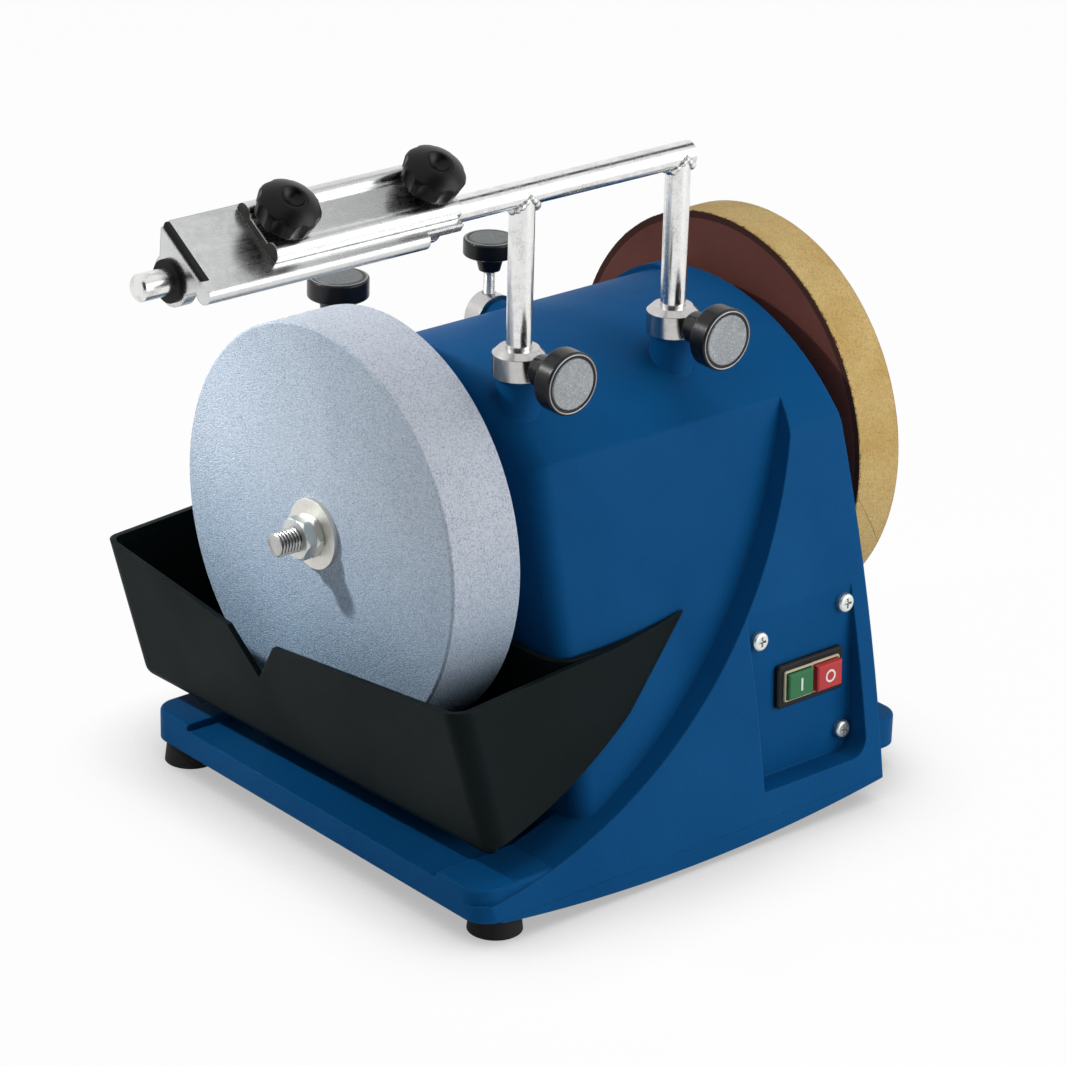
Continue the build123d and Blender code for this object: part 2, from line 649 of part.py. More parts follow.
def tray_form(t, top):
    """Solid form of the tray pulled in by t, as high as top."""
    left, front, rear, side = tray_planes(t)
    trough = block(-60, TRAY_RIGHT - t, -200, 200, TRAY_Z0 + t, top)
    for plane in (left, front, rear):
        trough = split(trough, bisect_by=plane, keep=Keep.BOTTOM)
    corners = trough.edges().filter_by(lambda e: e.length > 40 and e.center().X < 0)
    corners = corners.filter_by(lambda e: abs(e.center().Y) > 60)
    trough = fillet(corners, TRAY_CORNER_R - t)
    low = trough.faces().sort_by(Axis.Z)[0]
    low_edges = low.edges().filter_by(lambda e: e.center().X < TRAY_RIGHT - t - 1)
    trough = fillet(low_edges, TRAY_FLOOR_R - t)
    drum = sweep_cylinder(TRAY_SWEEP_R - t)
    trough -= block(0, 90, -200, TRAY_STEP_Y + t, 0, 80) - drum
    wing = block(TRAY_RIGHT - 20, TRAY_END_X - t, -200, -80, TRAY_Z0 + t, top)
    for plane in (front, side):
        wing = split(wing, bisect_by=plane, keep=Keep.BOTTOM)
    form = trough + (wing & drum)
    inner = (TRAY_RIGHT - t, front_y(TRAY_DIP_Z, TRAY_BODY_GAP + t), TRAY_DIP_Z)
    upright = form.edges().filter_by(lambda e: e.length > 20).sort_by_distance(inner)[0]
    return fillet(upright, BODY_CORNER_R + TRAY_BODY_GAP + t)


def tray_rim():
    """Space over the tray's rim, which sweeps up towards the tip."""
    span = TRAY_END_X - TRAY_RISE_X
    sweep_r = (span**2 + TRAY_TIP_RISE**2) / (2 * TRAY_TIP_RISE)
    high = TRAY_Z1 + 4 * TRAY_TIP_RISE
    level = block(-60, TRAY_RISE_X, -200, 200, TRAY_Z1, high)
    rise = rod_y(2 * sweep_r, -200, 200, TRAY_RISE_X, TRAY_Z1 + sweep_r)
    return level + (rise & block(TRAY_RISE_X, 200, -200, 200, TRAY_Z1, high))


def water_tray():
    """Tray for the water, hugging the body and notched on the outside."""
    high = TRAY_Z1 + TRAY_TIP_RISE
    tray = tray_form(0.0, high) - tray_form(TRAY_T, high + 5) - tray_rim()
    rim = Polyline(
        [
            (TRAY_TIP_Y - 14, TRAY_Z1),
            (NOTCH_Y - NOTCH_HALF, TRAY_DIP_Z),
            (NOTCH_Y, NOTCH_Z),
            (NOTCH_Y + NOTCH_HALF, TRAY_DIP_Z),
            (TRAY_REAR_TOP - 8, TRAY_Z1),
            (TRAY_REAR_TOP - 8, TRAY_Z1 + 9),
            (TRAY_TIP_Y - 14, TRAY_Z1 + 9),
        ],
        close=True,
    )
    tray -= along_x(make_face(rim), -60, -5)
    for y in (RECESS_Y0 + RIB_INSET, RECESS_Y1 - RIB_INSET - RIB_T):
        floor = BASE_Z1 - RECESS_DEPTH + RIB_GAP
        tray += block(RIB_INSET, TRAY_RIGHT - 6, y, y + RIB_T, floor, TRAY_Z0 + 1)
    return tray


def shaft_bush(x0, x1, flange_x):
    """Flanged bush for the shaft."""
    bush = rod_x(BUSH_D, x0, x1) + rod_x(BUSH_FLANGE_D, flange_x, flange_x + BUSH_FLANGE_T)
    return bush - rod_x(SHAFT_D + 2 * BUSH_PLAY, x0 - 9, x1 + 9)


def main_shaft():
    """Shaft through the machine with both ends chamfered."""
    shaft = rod_x(SHAFT_D, SHAFT_X0, SHAFT_X1)
    return chamfer(shaft.edges().filter_by(GeomType.CIRCLE), 1.2)


def stone_flange():
    """Inner flange that the stone is clamped against, with its spacer."""
    spacer_end = BODY_X0 - BUSH_FLANGE_T - END_PLAY
    flange = rod_x(FLANGE_D, STONE_W, STONE_W + FLANGE_T)
    flange = chamfer(flange.edges().group_by(Axis.X)[-1], 1.5)
    return flange + rod_x(20, STONE_W, spacer_end) - rod_x(SHAFT_D, 0, 100)


def grinding_stone():
    """The stone, its edges broken."""
    stone = rod_x(STONE_D, 0, STONE_W)
    stone = chamfer(stone.edges().filter_by(GeomType.CIRCLE), 1.0)
    return stone - rod_x(SHAFT_D, -9, STONE_W + 9)


def honing_core():
    """Disc of the honing wheel."""
    return ring_x(HONE_D, SHAFT_D, HONE_X, HONE_X + HONE_W)


def honing_leather():
    """Leather band on the rim of the honing wheel."""
    return ring_x(HONE_D + 2 * LEATHER_T, HONE_D, HONE_X, HONE_X + HONE_W)


def honing_spacer():
    """Spacer between the right bush and the honing wheel."""
    return ring_x(22, SHAFT_D, BODY_X1 + BUSH_FLANGE_T + END_PLAY, HONE_X)


def drive_wheel():
    """Wheel on the shaft inside the housing, with a hub and five holes."""
    rim = WHEEL_D - 2 * TYRE_T
    wheel = rod_x(rim, WHEEL_X, WHEEL_X + WHEEL_W)
    wheel -= ring_x(rim - 16, 38, WHEEL_X - 1, WHEEL_X + 6)
    wheel -= ring_x(rim - 16, 38, WHEEL_X + WHEEL_W - 6, WHEEL_X + WHEEL_W + 1)
    wheel += rod_x(32, WHEEL_X - 4, WHEEL_X + WHEEL_W + 6)
    for i in range(5):
        angle = math.radians(72 * i)
        reach = (rim - 16 + 38) / 4
        y = reach * math.cos(angle)
        z = SHAFT_Z + reach * math.sin(angle)
        wheel -= rod_x(20, WHEEL_X - 9, WHEEL_X + WHEEL_W + 9, y, z)
    return wheel - rod_x(SHAFT_D, 0, 200)


def drive_tyre():
    """Rubber tyre that the motor roller drives."""
    return ring_x(WHEEL_D, WHEEL_D - 2 * TYRE_T, WHEEL_X, WHEEL_X + WHEEL_W)


def motor_ring(outer, inner, x0, x1):
    """Tube about the motor axis."""
    return ring_x(outer, inner, x0, x1, MOTOR_Y, MOTOR_Z)


def motor_shield(x_open, x_end):
    """Cup that closes one end of the motor and seats its bearing."""
    step = math.copysign(1.0, x_end - x_open)
    plate_x = x_end - step * SHIELD_T
    seat_x = x_end - step * (BEARING_W + 1)
    lo = min
    hi = max
    cup = motor_ring(STATOR_D, STATOR_D - 2 * SHIELD_T, lo(x_open, x_end), hi(x_open, x_end))
    cup += motor_ring(STATOR_D, BEARING_D, lo(plate_x, x_end), hi(plate_x, x_end))
    return cup + motor_ring(BEARING_D + 8, BEARING_D, lo(seat_x, x_end), hi(seat_x, x_end))


def motor_bracket():
    """Angle that hangs the motor behind the switch panel."""
    behind = -WALL - BRACKET_T / 2
    tall = PANEL_LOW + PANEL_HIGH - 2 * WALL
    plate = PANEL * (Pos(0, (PANEL_HIGH - PANEL_LOW) / 2, behind) * Box(PANEL_W - 2, tall, BRACKET_T))
    arm_x = STATOR_X + STATOR_L + SHIELD_L
    plate -= sweep_cylinder(FIN_SWEEP_R + WALL + 0.5)
    low = PANEL_Z - 20
    high = PANEL_Z + 26
    back = WALL + 1
    arm = Polyline(
        [
            (panel_y(low, back), low),
            (panel_y(high, back), high),
            (MOTOR_Y - 30, MOTOR_Z + 32),
            (MOTOR_Y + 30, MOTOR_Z + 32),
            (MOTOR_Y + 30, MOTOR_Z - 32),
            (MOTOR_Y - 16, low),
        ],
        close=True,
    )
    arm = along_x(make_face(arm), arm_x, arm_x + BRACKET_T)
    room = SWITCH_DEPTH + 8
    bracket = plate + arm
    bracket -= PANEL * (Pos(SWITCH_U, SWITCH_V, -room / 2) * Box(SWITCH_W + 6, SWITCH_H + 6, room))
    bracket -= rod_x(BEARING_D + 12, arm_x - 1, arm_x + 9, MOTOR_Y, MOTOR_Z)
    for y, z in motor_screw_spots():
        bracket -= rod_x(4.4, arm_x - 1, arm_x + 9, y, z)
    for u, v in PANEL_SCREWS:
        bracket -= PANEL * (Pos(u, v, behind) * Cylinder(PANEL_SCREW_D / 2, 20))
    return bracket


def motor_screw_spots():
    """Three places round the motor axis."""
    reach = STATOR_D / 2 - 10
    turns = [math.radians(a) for a in (90, 210, 330)]
    return [(MOTOR_Y + reach * math.cos(a), MOTOR_Z + reach * math.sin(a)) for a in turns]


def motor_screws():
    """Screws through the bracket into the right shield."""
    arm_x = STATOR_X + STATOR_L + SHIELD_L
    pieces = []
    for y, z in motor_screw_spots():
        head = rod_x(7.0, arm_x + BRACKET_T, arm_x + BRACKET_T + 2.6, y, z)
        pieces.append(head + rod_x(4.0, arm_x - SHIELD_T, arm_x + BRACKET_T, y, z))
    return pieces


def right_shield():
    """Right shield, drilled for the motor screws."""
    start = STATOR_X + STATOR_L
    shield = motor_shield(start, start + SHIELD_L)
    for y, z in motor_screw_spots():
        shield -= rod_x(4.0, start + 5, start + SHIELD_L + 9, y, z)
    return shield


def motor_bearings():
    """Two ball bearings, each drawn as one ring with grooved faces."""
    spots = (STATOR_X - SHIELD_L, STATOR_X + STATOR_L + SHIELD_L - BEARING_W)
    rings = []
    for x in spots:
        ring = motor_ring(BEARING_D, MOTOR_SHAFT_D + 0.06, x, x + BEARING_W)
        ring -= motor_ring(18, 12, x - 1, x + 0.6)
        ring -= motor_ring(18, 12, x + BEARING_W - 0.6, x + BEARING_W + 1)
        rings.append(ring)
    return rings


def motor_windings():
    """Coil heads at both ends of the stator."""
    left = motor_ring(72, STATOR_BORE + 6, STATOR_X - 9, STATOR_X)
    right = motor_ring(72, STATOR_BORE + 6, STATOR_X + STATOR_L, STATOR_X + STATOR_L + 9)
    return [left, right]


def motor_shaft():
    """Motor shaft from the roller to the right bearing."""
    end = STATOR_X + STATOR_L + SHIELD_L + 2
    return rod_x(MOTOR_SHAFT_D, WHEEL_X - 4, end, MOTOR_Y, MOTOR_Z)


def motor_fan():
    """Fan on the motor shaft beside the left shield."""
    x1 = STATOR_X - SHIELD_L - 4
    fan = motor_ring(20, MOTOR_SHAFT_D, x1 - 10, x1) + motor_ring(FAN_D, 18, x1 - 2, x1)
    for i in range(8):
        blade = block(x1 - 10, x1, -0.8, 0.8, 9, FAN_D / 2 - 1)
        fan += Pos(0, MOTOR_Y, MOTOR_Z) * Rot(45 * i, 0, 0) * blade
    return fan - rod_x(MOTOR_SHAFT_D, x1 - 20, x1 + 9, MOTOR_Y, MOTOR_Z)


def panel_screw(u, v):
    """Pan-head screw with a cross recess."""
    head = Pos(u, v, 0) * rod_z(PANEL_HEAD_D, 0, 3.4)
    head = fillet(head.edges().group_by(Axis.Z)[-1], 1.6)
    cross = Pos(u, v, 3.2) * (Box(5.0, 1.1, 2.6) + Box(1.1, 5.0, 2.6))
    stem = Pos(u, v, 0) * rod_z(PANEL_SCREW_D, -WALL - BRACKET_T - 3, 0)
    return PANEL * (head - cross + stem)


def button_centre(side):
    """Panel position of a button, side -1 being the left one."""
    return SWITCH_U + side * BUTTON_PITCH / 2, SWITCH_V


def switch_bezel():
    """Switch with its flange, and two wells for the buttons."""
    flange = Pos(SWITCH_U, SWITCH_V, BEZEL_T / 2) * Box(BEZEL_W, BEZEL_H, BEZEL_T)
    flange = fillet(flange.edges().filter_by(Axis.Z), 2.0)
    flange = chamfer(flange.faces().sort_by(Axis.Z)[-1].edges(), 0.8)
    case_w = SWITCH_W - 0.3
    case = Pos(SWITCH_U, SWITCH_V, -SWITCH_DEPTH / 2) * Box(case_w, SWITCH_H - 0.3, SWITCH_DEPTH)
    switch = flange + case
    for side in (-1, 1):
        u, v = button_centre(side)
        width = BUTTON_W + 2 * BUTTON_GAP
        height = BUTTON_H + 2 * BUTTON_GAP
        switch -= Pos(u, v, 0) * Box(width, height, 2 * (SWITCH_DEPTH - 8))
    return PANEL * switch


def switch_button(side, extra):
    """Push button in its well, standing proud of the flange."""
    u, v = button_centre(side)
    top = BEZEL_T + BUTTON_RISE + extra
    depth = 10.0
    button = Pos(u, v, (top - depth) / 2) * Box(BUTTON_W, BUTTON_H, top + depth)
    return PANEL * chamfer(button.faces().sort_by(Axis.Z)[-1].edges(), 0.7)


def run_capacitor():
    """Capacitor can standing on the cover."""
    z0 = BASE_Z0 + COVER_T
    can = rod_z(CAN_D, z0, z0 + CAN_H, CAN_X, CAN_Y)
    can = fillet(can.edges().group_by(Axis.Z)[-1], 2.0)
    return can + rod_z(8, z0 + CAN_H, z0 + CAN_H + 6, CAN_X - 7, CAN_Y)


def cable_grommet():
    """Gland in the rear wall where the supply lead would enter."""
    face = rear_y(GLAND_Z - GLAND_D) + 0.5
    gland = rod_y(GLAND_D, face - 2 * WALL, face, GLAND_X, GLAND_Z)
    gland += rod_y(GLAND_D + 5, face, face + 3, GLAND_X, GLAND_Z)
    return gland - rod_y(GLAND_D - 5, face - 20, face + 20, GLAND_X, GLAND_Z)


def group(pieces):
    """Separate solids kept in one node."""
    return Compound([solid for piece in pieces for solid in piece.solids()])


def build():
    """Every node of the machine by name."""
    x1 = BODY_X1
    washer_x = HONE_X + HONE_W
    nodes = {
        "housing": housing(),
        "bottom_cover": bottom_cover(),
        "rubber_feet": group(rubber_foot(x, y) for x, y in base_boss_spots()[0]),
        "base_screws": group(base_screws()),
        "shaft_bush_left": shaft_bush(BODY_X0, BODY_X0 + BUSH_LENGTH, BODY_X0 - BUSH_FLANGE_T),
        "shaft_bush_right": shaft_bush(x1 - BUSH_LENGTH, x1, x1),
        "main_shaft": main_shaft(),
        "grinding_stone": grinding_stone(),
        "stone_flange": stone_flange(),
        "shaft_washers": group(
            [
                ring_x(WASHER_D, SHAFT_D, -WASHER_T, 0),
                ring_x(WASHER_D, SHAFT_D, washer_x, washer_x + WASHER_T),
            ]
        ),
        "shaft_nuts": group(
            [
                hex_nut(-WASHER_T - JAM_T, -WASHER_T, SHAFT_D),
                hex_nut(-WASHER_T - NUT_T, -WASHER_T - JAM_T, SHAFT_D),
                hex_nut(washer_x + WASHER_T, washer_x + WASHER_T + NUT_T, SHAFT_D),
            ]
        ),
        "honing_core": honing_core(),
        "honing_leather": honing_leather(),
        "honing_spacer": honing_spacer(),
        "drive_wheel": drive_wheel(),
        "drive_tyre": drive_tyre(),
        "drive_roller": motor_ring(ROLLER_D, MOTOR_SHAFT_D, WHEEL_X - 2, WHEEL_X + WHEEL_W + 2),
        "motor_shaft": motor_shaft(),
        "motor_rotor": motor_ring(
            STATOR_BORE - 2 * ROTOR_GAP, MOTOR_SHAFT_D, STATOR_X, STATOR_X + STATOR_L
        ),
        "motor_fan": motor_fan(),
        "motor_stator": motor_ring(STATOR_D, STATOR_BORE, STATOR_X, STATOR_X + STATOR_L),
        "motor_windings": group(motor_windings()),
        "motor_shield_left": motor_shield(STATOR_X, STATOR_X - SHIELD_L),
        "motor_shield_right": right_shield(),
        "motor_bearings": group(motor_bearings()),
        "motor_bracket": motor_bracket(),
        "motor_screws": group(motor_screws()),
        "run_capacitor": run_capacitor(),
        "cable_grommet": cable_grommet(),
        "panel_screws": group(panel_screw(u, v) for u, v in PANEL_SCREWS),
        "switch_bezel": switch_bezel(),
        "start_button": switch_button(-1, 0.0),
        "stop_button": switch_button(1, STOP_EXTRA),
        "water_tray": water_tray(),
        "support_bar": support_bar(),
        "support_leg_left": support_leg(LEG_X0),
        "support_leg_right": support_leg(LEG_X1),
        "jig_base": jig_base(),
        "jig_bushes": group(
            [
                jig_bush(JIG_X0, JIG_X0 + JIG_EAR_T, JIG_X0 - 2),
                jig_bush(JIG_X1 - JIG_EAR_T, JIG_X1, JIG_X1),
            ]
        ),
        "jig_clamp_plate": jig_clamp_plate(),
        "jig_knob_left": star_knob(JIG_STUD_X0),
        "jig_knob_right": star_knob(JIG_STUD_X1),
        "jig_stud_left": jig_stud(JIG_STUD_X0),
        "jig_stud_right": jig_stud(JIG_STUD_X1),
    }
    for side, x in (("left", LEG_X0), ("right", LEG_X1)):
        nodes[f"collar_front_{side}"] = front_collar(x)
        nodes[f"collar_rear_{side}"] = rear_collar(x)
        for place, rear, face in (("front", False, FRONT_FACE), ("rear", True, REAR_FACE)):
            small = rear and side == "right"
            knob, cap, stud = thumbscrew(thumb_frame(x, rear), face, small)
            nodes[f"thumb_knob_{place}_{side}"] = knob
            nodes[f"thumb_cap_{place}_{side}"] = cap
            nodes[f"thumb_stud_{place}_{side}"] = stud
    return nodes


os.makedirs("parts", exist_ok=True)
for name, shape in build().items():
    export_step(Pos(-X_MID, -Y_MID, -TABLE_Z) * shape, f"parts/{name}.step")
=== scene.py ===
"""Looks of a bench wet sharpener: finishes, fine pieces, studio and camera.

Lengths are in metres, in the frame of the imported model.
"""

import logging
import math
import random
from collections.abc import Callable, Iterable, Sequence
from dataclasses import dataclass, field
from enum import Enum

import bpy
from mathutils import Matrix, Vector

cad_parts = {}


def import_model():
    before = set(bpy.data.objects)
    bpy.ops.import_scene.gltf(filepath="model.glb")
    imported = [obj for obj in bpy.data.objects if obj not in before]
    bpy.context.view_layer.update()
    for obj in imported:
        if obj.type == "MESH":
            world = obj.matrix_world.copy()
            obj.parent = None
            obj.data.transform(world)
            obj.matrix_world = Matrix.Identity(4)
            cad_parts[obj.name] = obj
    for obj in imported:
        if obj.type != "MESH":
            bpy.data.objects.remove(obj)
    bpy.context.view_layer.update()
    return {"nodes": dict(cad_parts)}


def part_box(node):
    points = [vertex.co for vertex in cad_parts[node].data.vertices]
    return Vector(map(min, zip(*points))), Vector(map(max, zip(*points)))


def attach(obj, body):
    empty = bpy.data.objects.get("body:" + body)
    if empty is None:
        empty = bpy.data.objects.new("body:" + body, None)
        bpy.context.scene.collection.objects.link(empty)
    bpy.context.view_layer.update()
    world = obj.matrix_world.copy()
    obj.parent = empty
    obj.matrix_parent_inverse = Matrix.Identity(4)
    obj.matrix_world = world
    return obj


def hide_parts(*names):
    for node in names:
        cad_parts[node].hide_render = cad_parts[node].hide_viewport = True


log = logging.getLogger("wet_sharpener")

Colour = tuple[float, float, float]
Socket = bpy.types.NodeSocket
Value = Socket | float | tuple
Values = dict[str | int, Value]
Given = bpy.types.NodeOutputs
Sockets = dict[str, Socket]
Recipe = Callable[["Graph", Given], Sockets]
Mesh = tuple[list[Vector], list[tuple[int, ...]]]

MM = 0.001
X_AXIS = Vector((1, 0, 0))
WHITE: Colour = (1.0, 1.0, 1.0)
DUST_GREY: Colour = (0.42, 0.43, 0.44)
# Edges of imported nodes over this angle, in degrees, stay sharp.
NODE_ANGLE = 28.0
# Range in which most of a cloudy value lies.
CLOUDS = (0.3, 0.7)


class Place(Enum):
    """Where a collar and its thumbscrew sit on the housing."""

    FRONT_LEFT = "front_left"
    FRONT_RIGHT = "front_right"
    REAR_LEFT = "rear_left"
    REAR_RIGHT = "rear_right"

    @property
    def front(self) -> bool:
        """Whether it is at the front of the housing."""
        return self.value.startswith("front")

    @property
    def outward(self) -> Vector:
        """Direction in which the thumbscrew points."""
        return Vector((0, -1, 0)) if self.front else Vector((0, 0, 1))


class Graph:
    """Shorthand for laying out the nodes of one shader tree."""

    def __init__(self, tree: bpy.types.NodeTree) -> None:
        """Empty the tree and keep it."""
        self.tree = tree
        tree.nodes.clear()

    def add(self, kind: str, values: Values | None = None, **settings: object) -> bpy.types.Node:
        """Add a node.

        Args:
            kind: Type of the node.
            values: Links or constants, by the name or number of an input.
            settings: Properties of the node, set before its inputs.

        Returns:
            The new node.
        """
        node = self.tree.nodes.new(kind)
        for name, value in settings.items():
            setattr(node, name, value)
        self.fill(node, values or {})
        return node

    def fill(self, node: bpy.types.Node, values: Values) -> None:
        """Link inputs of a node or set their constants.

        Args:
            node: Node to fill.
            values: Links or constants, by the name or number of an input.
        """
        for key, value in values.items():
            socket = node.inputs[key]
            if isinstance(value, bpy.types.NodeSocket):
                self.tree.links.new(value, socket)
            elif isinstance(value, tuple) and socket.type == "RGBA":
                socket.default_value = (*value, 1.0)
            else:
                socket.default_value = value

    def effect(self, recipe: Recipe, **values: float) -> Sockets:
        """Place a shared effect, whose group is built on its first use.

        Args:
            recipe: Function that lays out the effect.
            values: Inputs of the effect, by name.

        Returns:
            The effect's outputs, by name.
        """
        group = bpy.data.node_groups.get(recipe.__name__) or build_group(recipe, values)
        node = self.add("ShaderNodeGroup", values, node_tree=group)
        return {socket.name: socket for socket in node.outputs}

    def place(self) -> Socket:
        """Coordinates fixed to the piece."""
        return self.add("ShaderNodeTexCoord").outputs["Object"]

    def part(self, vector: Socket, axis: str) -> Socket:
        """One axis of a vector."""
        return self.add("ShaderNodeSeparateXYZ", {"Vector": vector}).outputs[axis]

    def sideways(self) -> Socket:
        """How much a face looks along the X axis of its piece, from 0 to 1."""
        facing = self.add("ShaderNodeTexCoord").outputs["Normal"]
        return self.math("ABSOLUTE", self.part(facing, "X"))

    def seen(self, *others: str) -> Socket:
        """Tell rays that come from the camera, from a reflection or by one of the other ways.

        Args:
            others: Names of the other ways.

        Returns:
            Socket that is 1 for such a ray and 0 for the rest.
        """
        path = self.add("ShaderNodeLightPath").outputs
        ways = path["Is Camera Ray"]
        for name in ("Is Glossy Ray", *others):
            ways = self.math("MAXIMUM", ways, path[name])
        return ways

    def noise(self, place: Socket, scale: Value, detail: float = 2.0, swirl: float = 0.0) -> Socket:
        """Cloudy value between 0 and 1, with so many clouds to the metre."""
        values = {"Vector": place, "Scale": scale, "Detail": detail, "Distortion": swirl}
        return self.add("ShaderNodeTexNoise", values).outputs["Fac"]

    def math(self, operation: str, first: Value, second: Value = 0.0) -> Socket:
        """One step of arithmetic, by Blender's name for it."""
        return self.add("ShaderNodeMath", {0: first, 1: second}, operation=operation).outputs[0]

    def plus(self, first: Value, second: Value) -> Socket:
        """Sum of two values."""
        return self.math("ADD", first, second)

    def times(self, first: Value, second: Value) -> Socket:
        """Product of two values."""
        return self.math("MULTIPLY", first, second)

    def ramp(
        self, value: Value, low: float, high: float, start: float = 0.0, end: float = 1.0
    ) -> Socket:
        """Stretch a value from low..high to start..end and clamp it."""
        values = {"Value": value, "From Min": low, "From Max": high, "To Min": start, "To Max": end}
        return self.add("ShaderNodeMapRange", values).outputs["Result"]

    def mix(self, mask: Value, under: Value, over: Value, share: float = 1.0) -> Socket:
        """Lay one colour over another.

        Args:
            mask: Where the upper colour lies.
            under: Lower colour.
            over: Upper colour.
            share: How much of the upper colour the full mask shows.

        Returns:
            The mixed colour's socket; 6, 7 and 2 are the node's colour sockets.
        """
        scaled = mask if share == 1.0 else self.times(mask, share)
        values = {0: scaled, 6: under, 7: over}
        return self.add("ShaderNodeMix", values, data_type="RGBA").outputs[2]

    def blend(self, share: Value, under: bpy.types.Node, over: bpy.types.Node) -> Socket:
        """Mix two shaders."""
        values = {0: share, 1: under.outputs[0], 2: over.outputs[0]}
        return self.add("ShaderNodeMixShader", values).outputs[0]

    def bevel(self, radius: Value) -> Socket:
        """Normal with its sharp edges rounded."""
        return self.add("ShaderNodeBevel", {"Radius": radius}, samples=4).outputs["Normal"]

    def bump(self, height: Value, depth: float, edge: float) -> Socket:
        """Normal with edges rounded to a radius, raised by a height of so much real depth."""
        values = {"Strength": 1.0, "Distance": depth, "Height": height, "Normal": self.bevel(edge)}
        return self.add("ShaderNodeBump", values).outputs["Normal"]


def build_group(recipe: Recipe, names: Iterable[str]) -> bpy.types.NodeTree:
    """Build the node group of an effect.

    Args:
        recipe: Function that lays out the effect.
        names: Names of its inputs, all numbers.

    Returns:
        The new group.
    """
    tree = bpy.data.node_groups.new(recipe.__name__, "ShaderNodeTree")
    graph = Graph(tree)
    for name in names:
        tree.interface.new_socket(name=name, in_out="INPUT", socket_type="NodeSocketFloat")
    made = recipe(graph, graph.add("NodeGroupInput").outputs)
    for name in made:
        tree.interface.new_socket(name=name, in_out="OUTPUT", socket_type="NodeSocketFloat")
    graph.add("NodeGroupOutput", made)
    return tree


def new_material(title: str) -> tuple[bpy.types.Material, Graph]:
    """Make an empty material.

    Args:
        title: Name of the material.

    Returns:
        The material and the graph of its nodes.
    """
    made = bpy.data.materials.new(title)
    made.use_nodes = True
    return made, Graph(made.node_tree)


def moulded_grain(graph: Graph, given: Given) -> Sockets:
    """Pebbled spark grain of a mould, with broad patches of tone.

    Args:
        graph: Graph of the group.
        given: Inputs of the group: Scale.

    Returns:
        Height and Tone.
    """
    place = graph.place()
    cells = graph.add("ShaderNodeTexVoronoi", {"Vector": place, "Scale": given["Scale"]})
    fine = graph.noise(place, graph.times(given["Scale"], 1.7))
    pebbles = graph.times(cells.outputs["Distance"], 0.7)
    height = graph.math("SUBTRACT", graph.times(fine, 0.6), pebbles)
    return {"Height": height, "Tone": graph.noise(place, 16.0, 4.0, 0.4)}


def outer_edge_mask(graph: Graph, given: Given) -> Sockets:
    """Mask of the outer edges, whole and broken up.

    Args:
        graph: Graph of the group.
        given: Inputs of the group: Width.

    Returns:
        Mask and Worn.
    """
    flat = graph.add("ShaderNodeNewGeometry").outputs["Normal"]
    pair = {0: graph.bevel(given["Width"]), 1: flat}
    turn = graph.add("ShaderNodeVectorMath", pair, operation="DOT_PRODUCT").outputs["Value"]
    mask = graph.ramp(graph.math("SUBTRACT", 1.0, turn), 0.02, 0.22)
    patches = graph.ramp(graph.noise(graph.place(), 160.0, 4.0), 0.42, 0.62)
    return {"Mask": mask, "Patchy": graph.times(mask, patches)}


def settled_dust(graph: Graph, given: Given) -> Sockets:
    """Mask of dust that settles on what faces up.

    Args:
        graph: Graph of the group.
        given: Inputs of the group: Scale.

    Returns:
        Mask.
    """
    up = graph.part(graph.add("ShaderNodeNewGeometry").outputs["Normal"], "Z")
    patches = graph.ramp(graph.noise(graph.place(), given["Scale"], 5.0), 0.4, 0.72)
    return {"Mask": graph.times(graph.ramp(up, 0.4, 0.97), patches)}


def drawn_lines(graph: Graph, given: Given) -> Sockets:
    """Fine lines left by drawing, turning or brushing.

    Args:
        graph: Graph of the group.
        given: Inputs of the group: X, Y and Z.

    Returns:
        Lines.
    """
    stretch = graph.add("ShaderNodeCombineXYZ", {axis: given[axis] for axis in "XYZ"})
    pair = {0: graph.place(), 1: stretch.outputs["Vector"]}
    scaled = graph.add("ShaderNodeVectorMath", pair, operation="MULTIPLY").outputs["Vector"]
    return {"Lines": graph.noise(scaled, 1.0, 4.0)}


def bonded_grit(graph: Graph, given: Given) -> Sockets:
    """Grains of differing tone that stand out of a bond.

    Args:
        graph: Graph of the group.
        given: Inputs of the group: Scale.

    Returns:
        Light, Dark, Height and Cloud.
    """
    place = graph.place()
    cells = graph.add("ShaderNodeTexVoronoi", {"Vector": place, "Scale": given["Scale"]})
    chance = graph.add("ShaderNodeSeparateColor", {"Color": cells.outputs["Color"]})
    fine = graph.noise(place, graph.times(given["Scale"], 0.4), 3.0)
    grains = graph.times(cells.outputs["Distance"], -0.8)
    return {
        "Light": graph.ramp(chance.outputs["Red"], 0.5, 1.0),
        "Dark": graph.ramp(chance.outputs["Green"], 0.55, 0.0),
        "Height": graph.plus(grains, graph.times(fine, 0.4)),
        "Cloud": fine,
    }


def handling_smears(graph: Graph, given: Given) -> Sockets:
    """Cloudy smears of handling, oil and plating bloom.

    Args:
        graph: Graph of the group.
        given: Inputs of the group: Scale.

    Returns:
        Broad and Fine.
    """
    place = graph.place()
    broad = graph.noise(place, given["Scale"], 5.0, 0.8)
    fine = graph.noise(place, graph.times(given["Scale"], 9.0), 3.0)
    return {"Broad": broad, "Fine": fine}


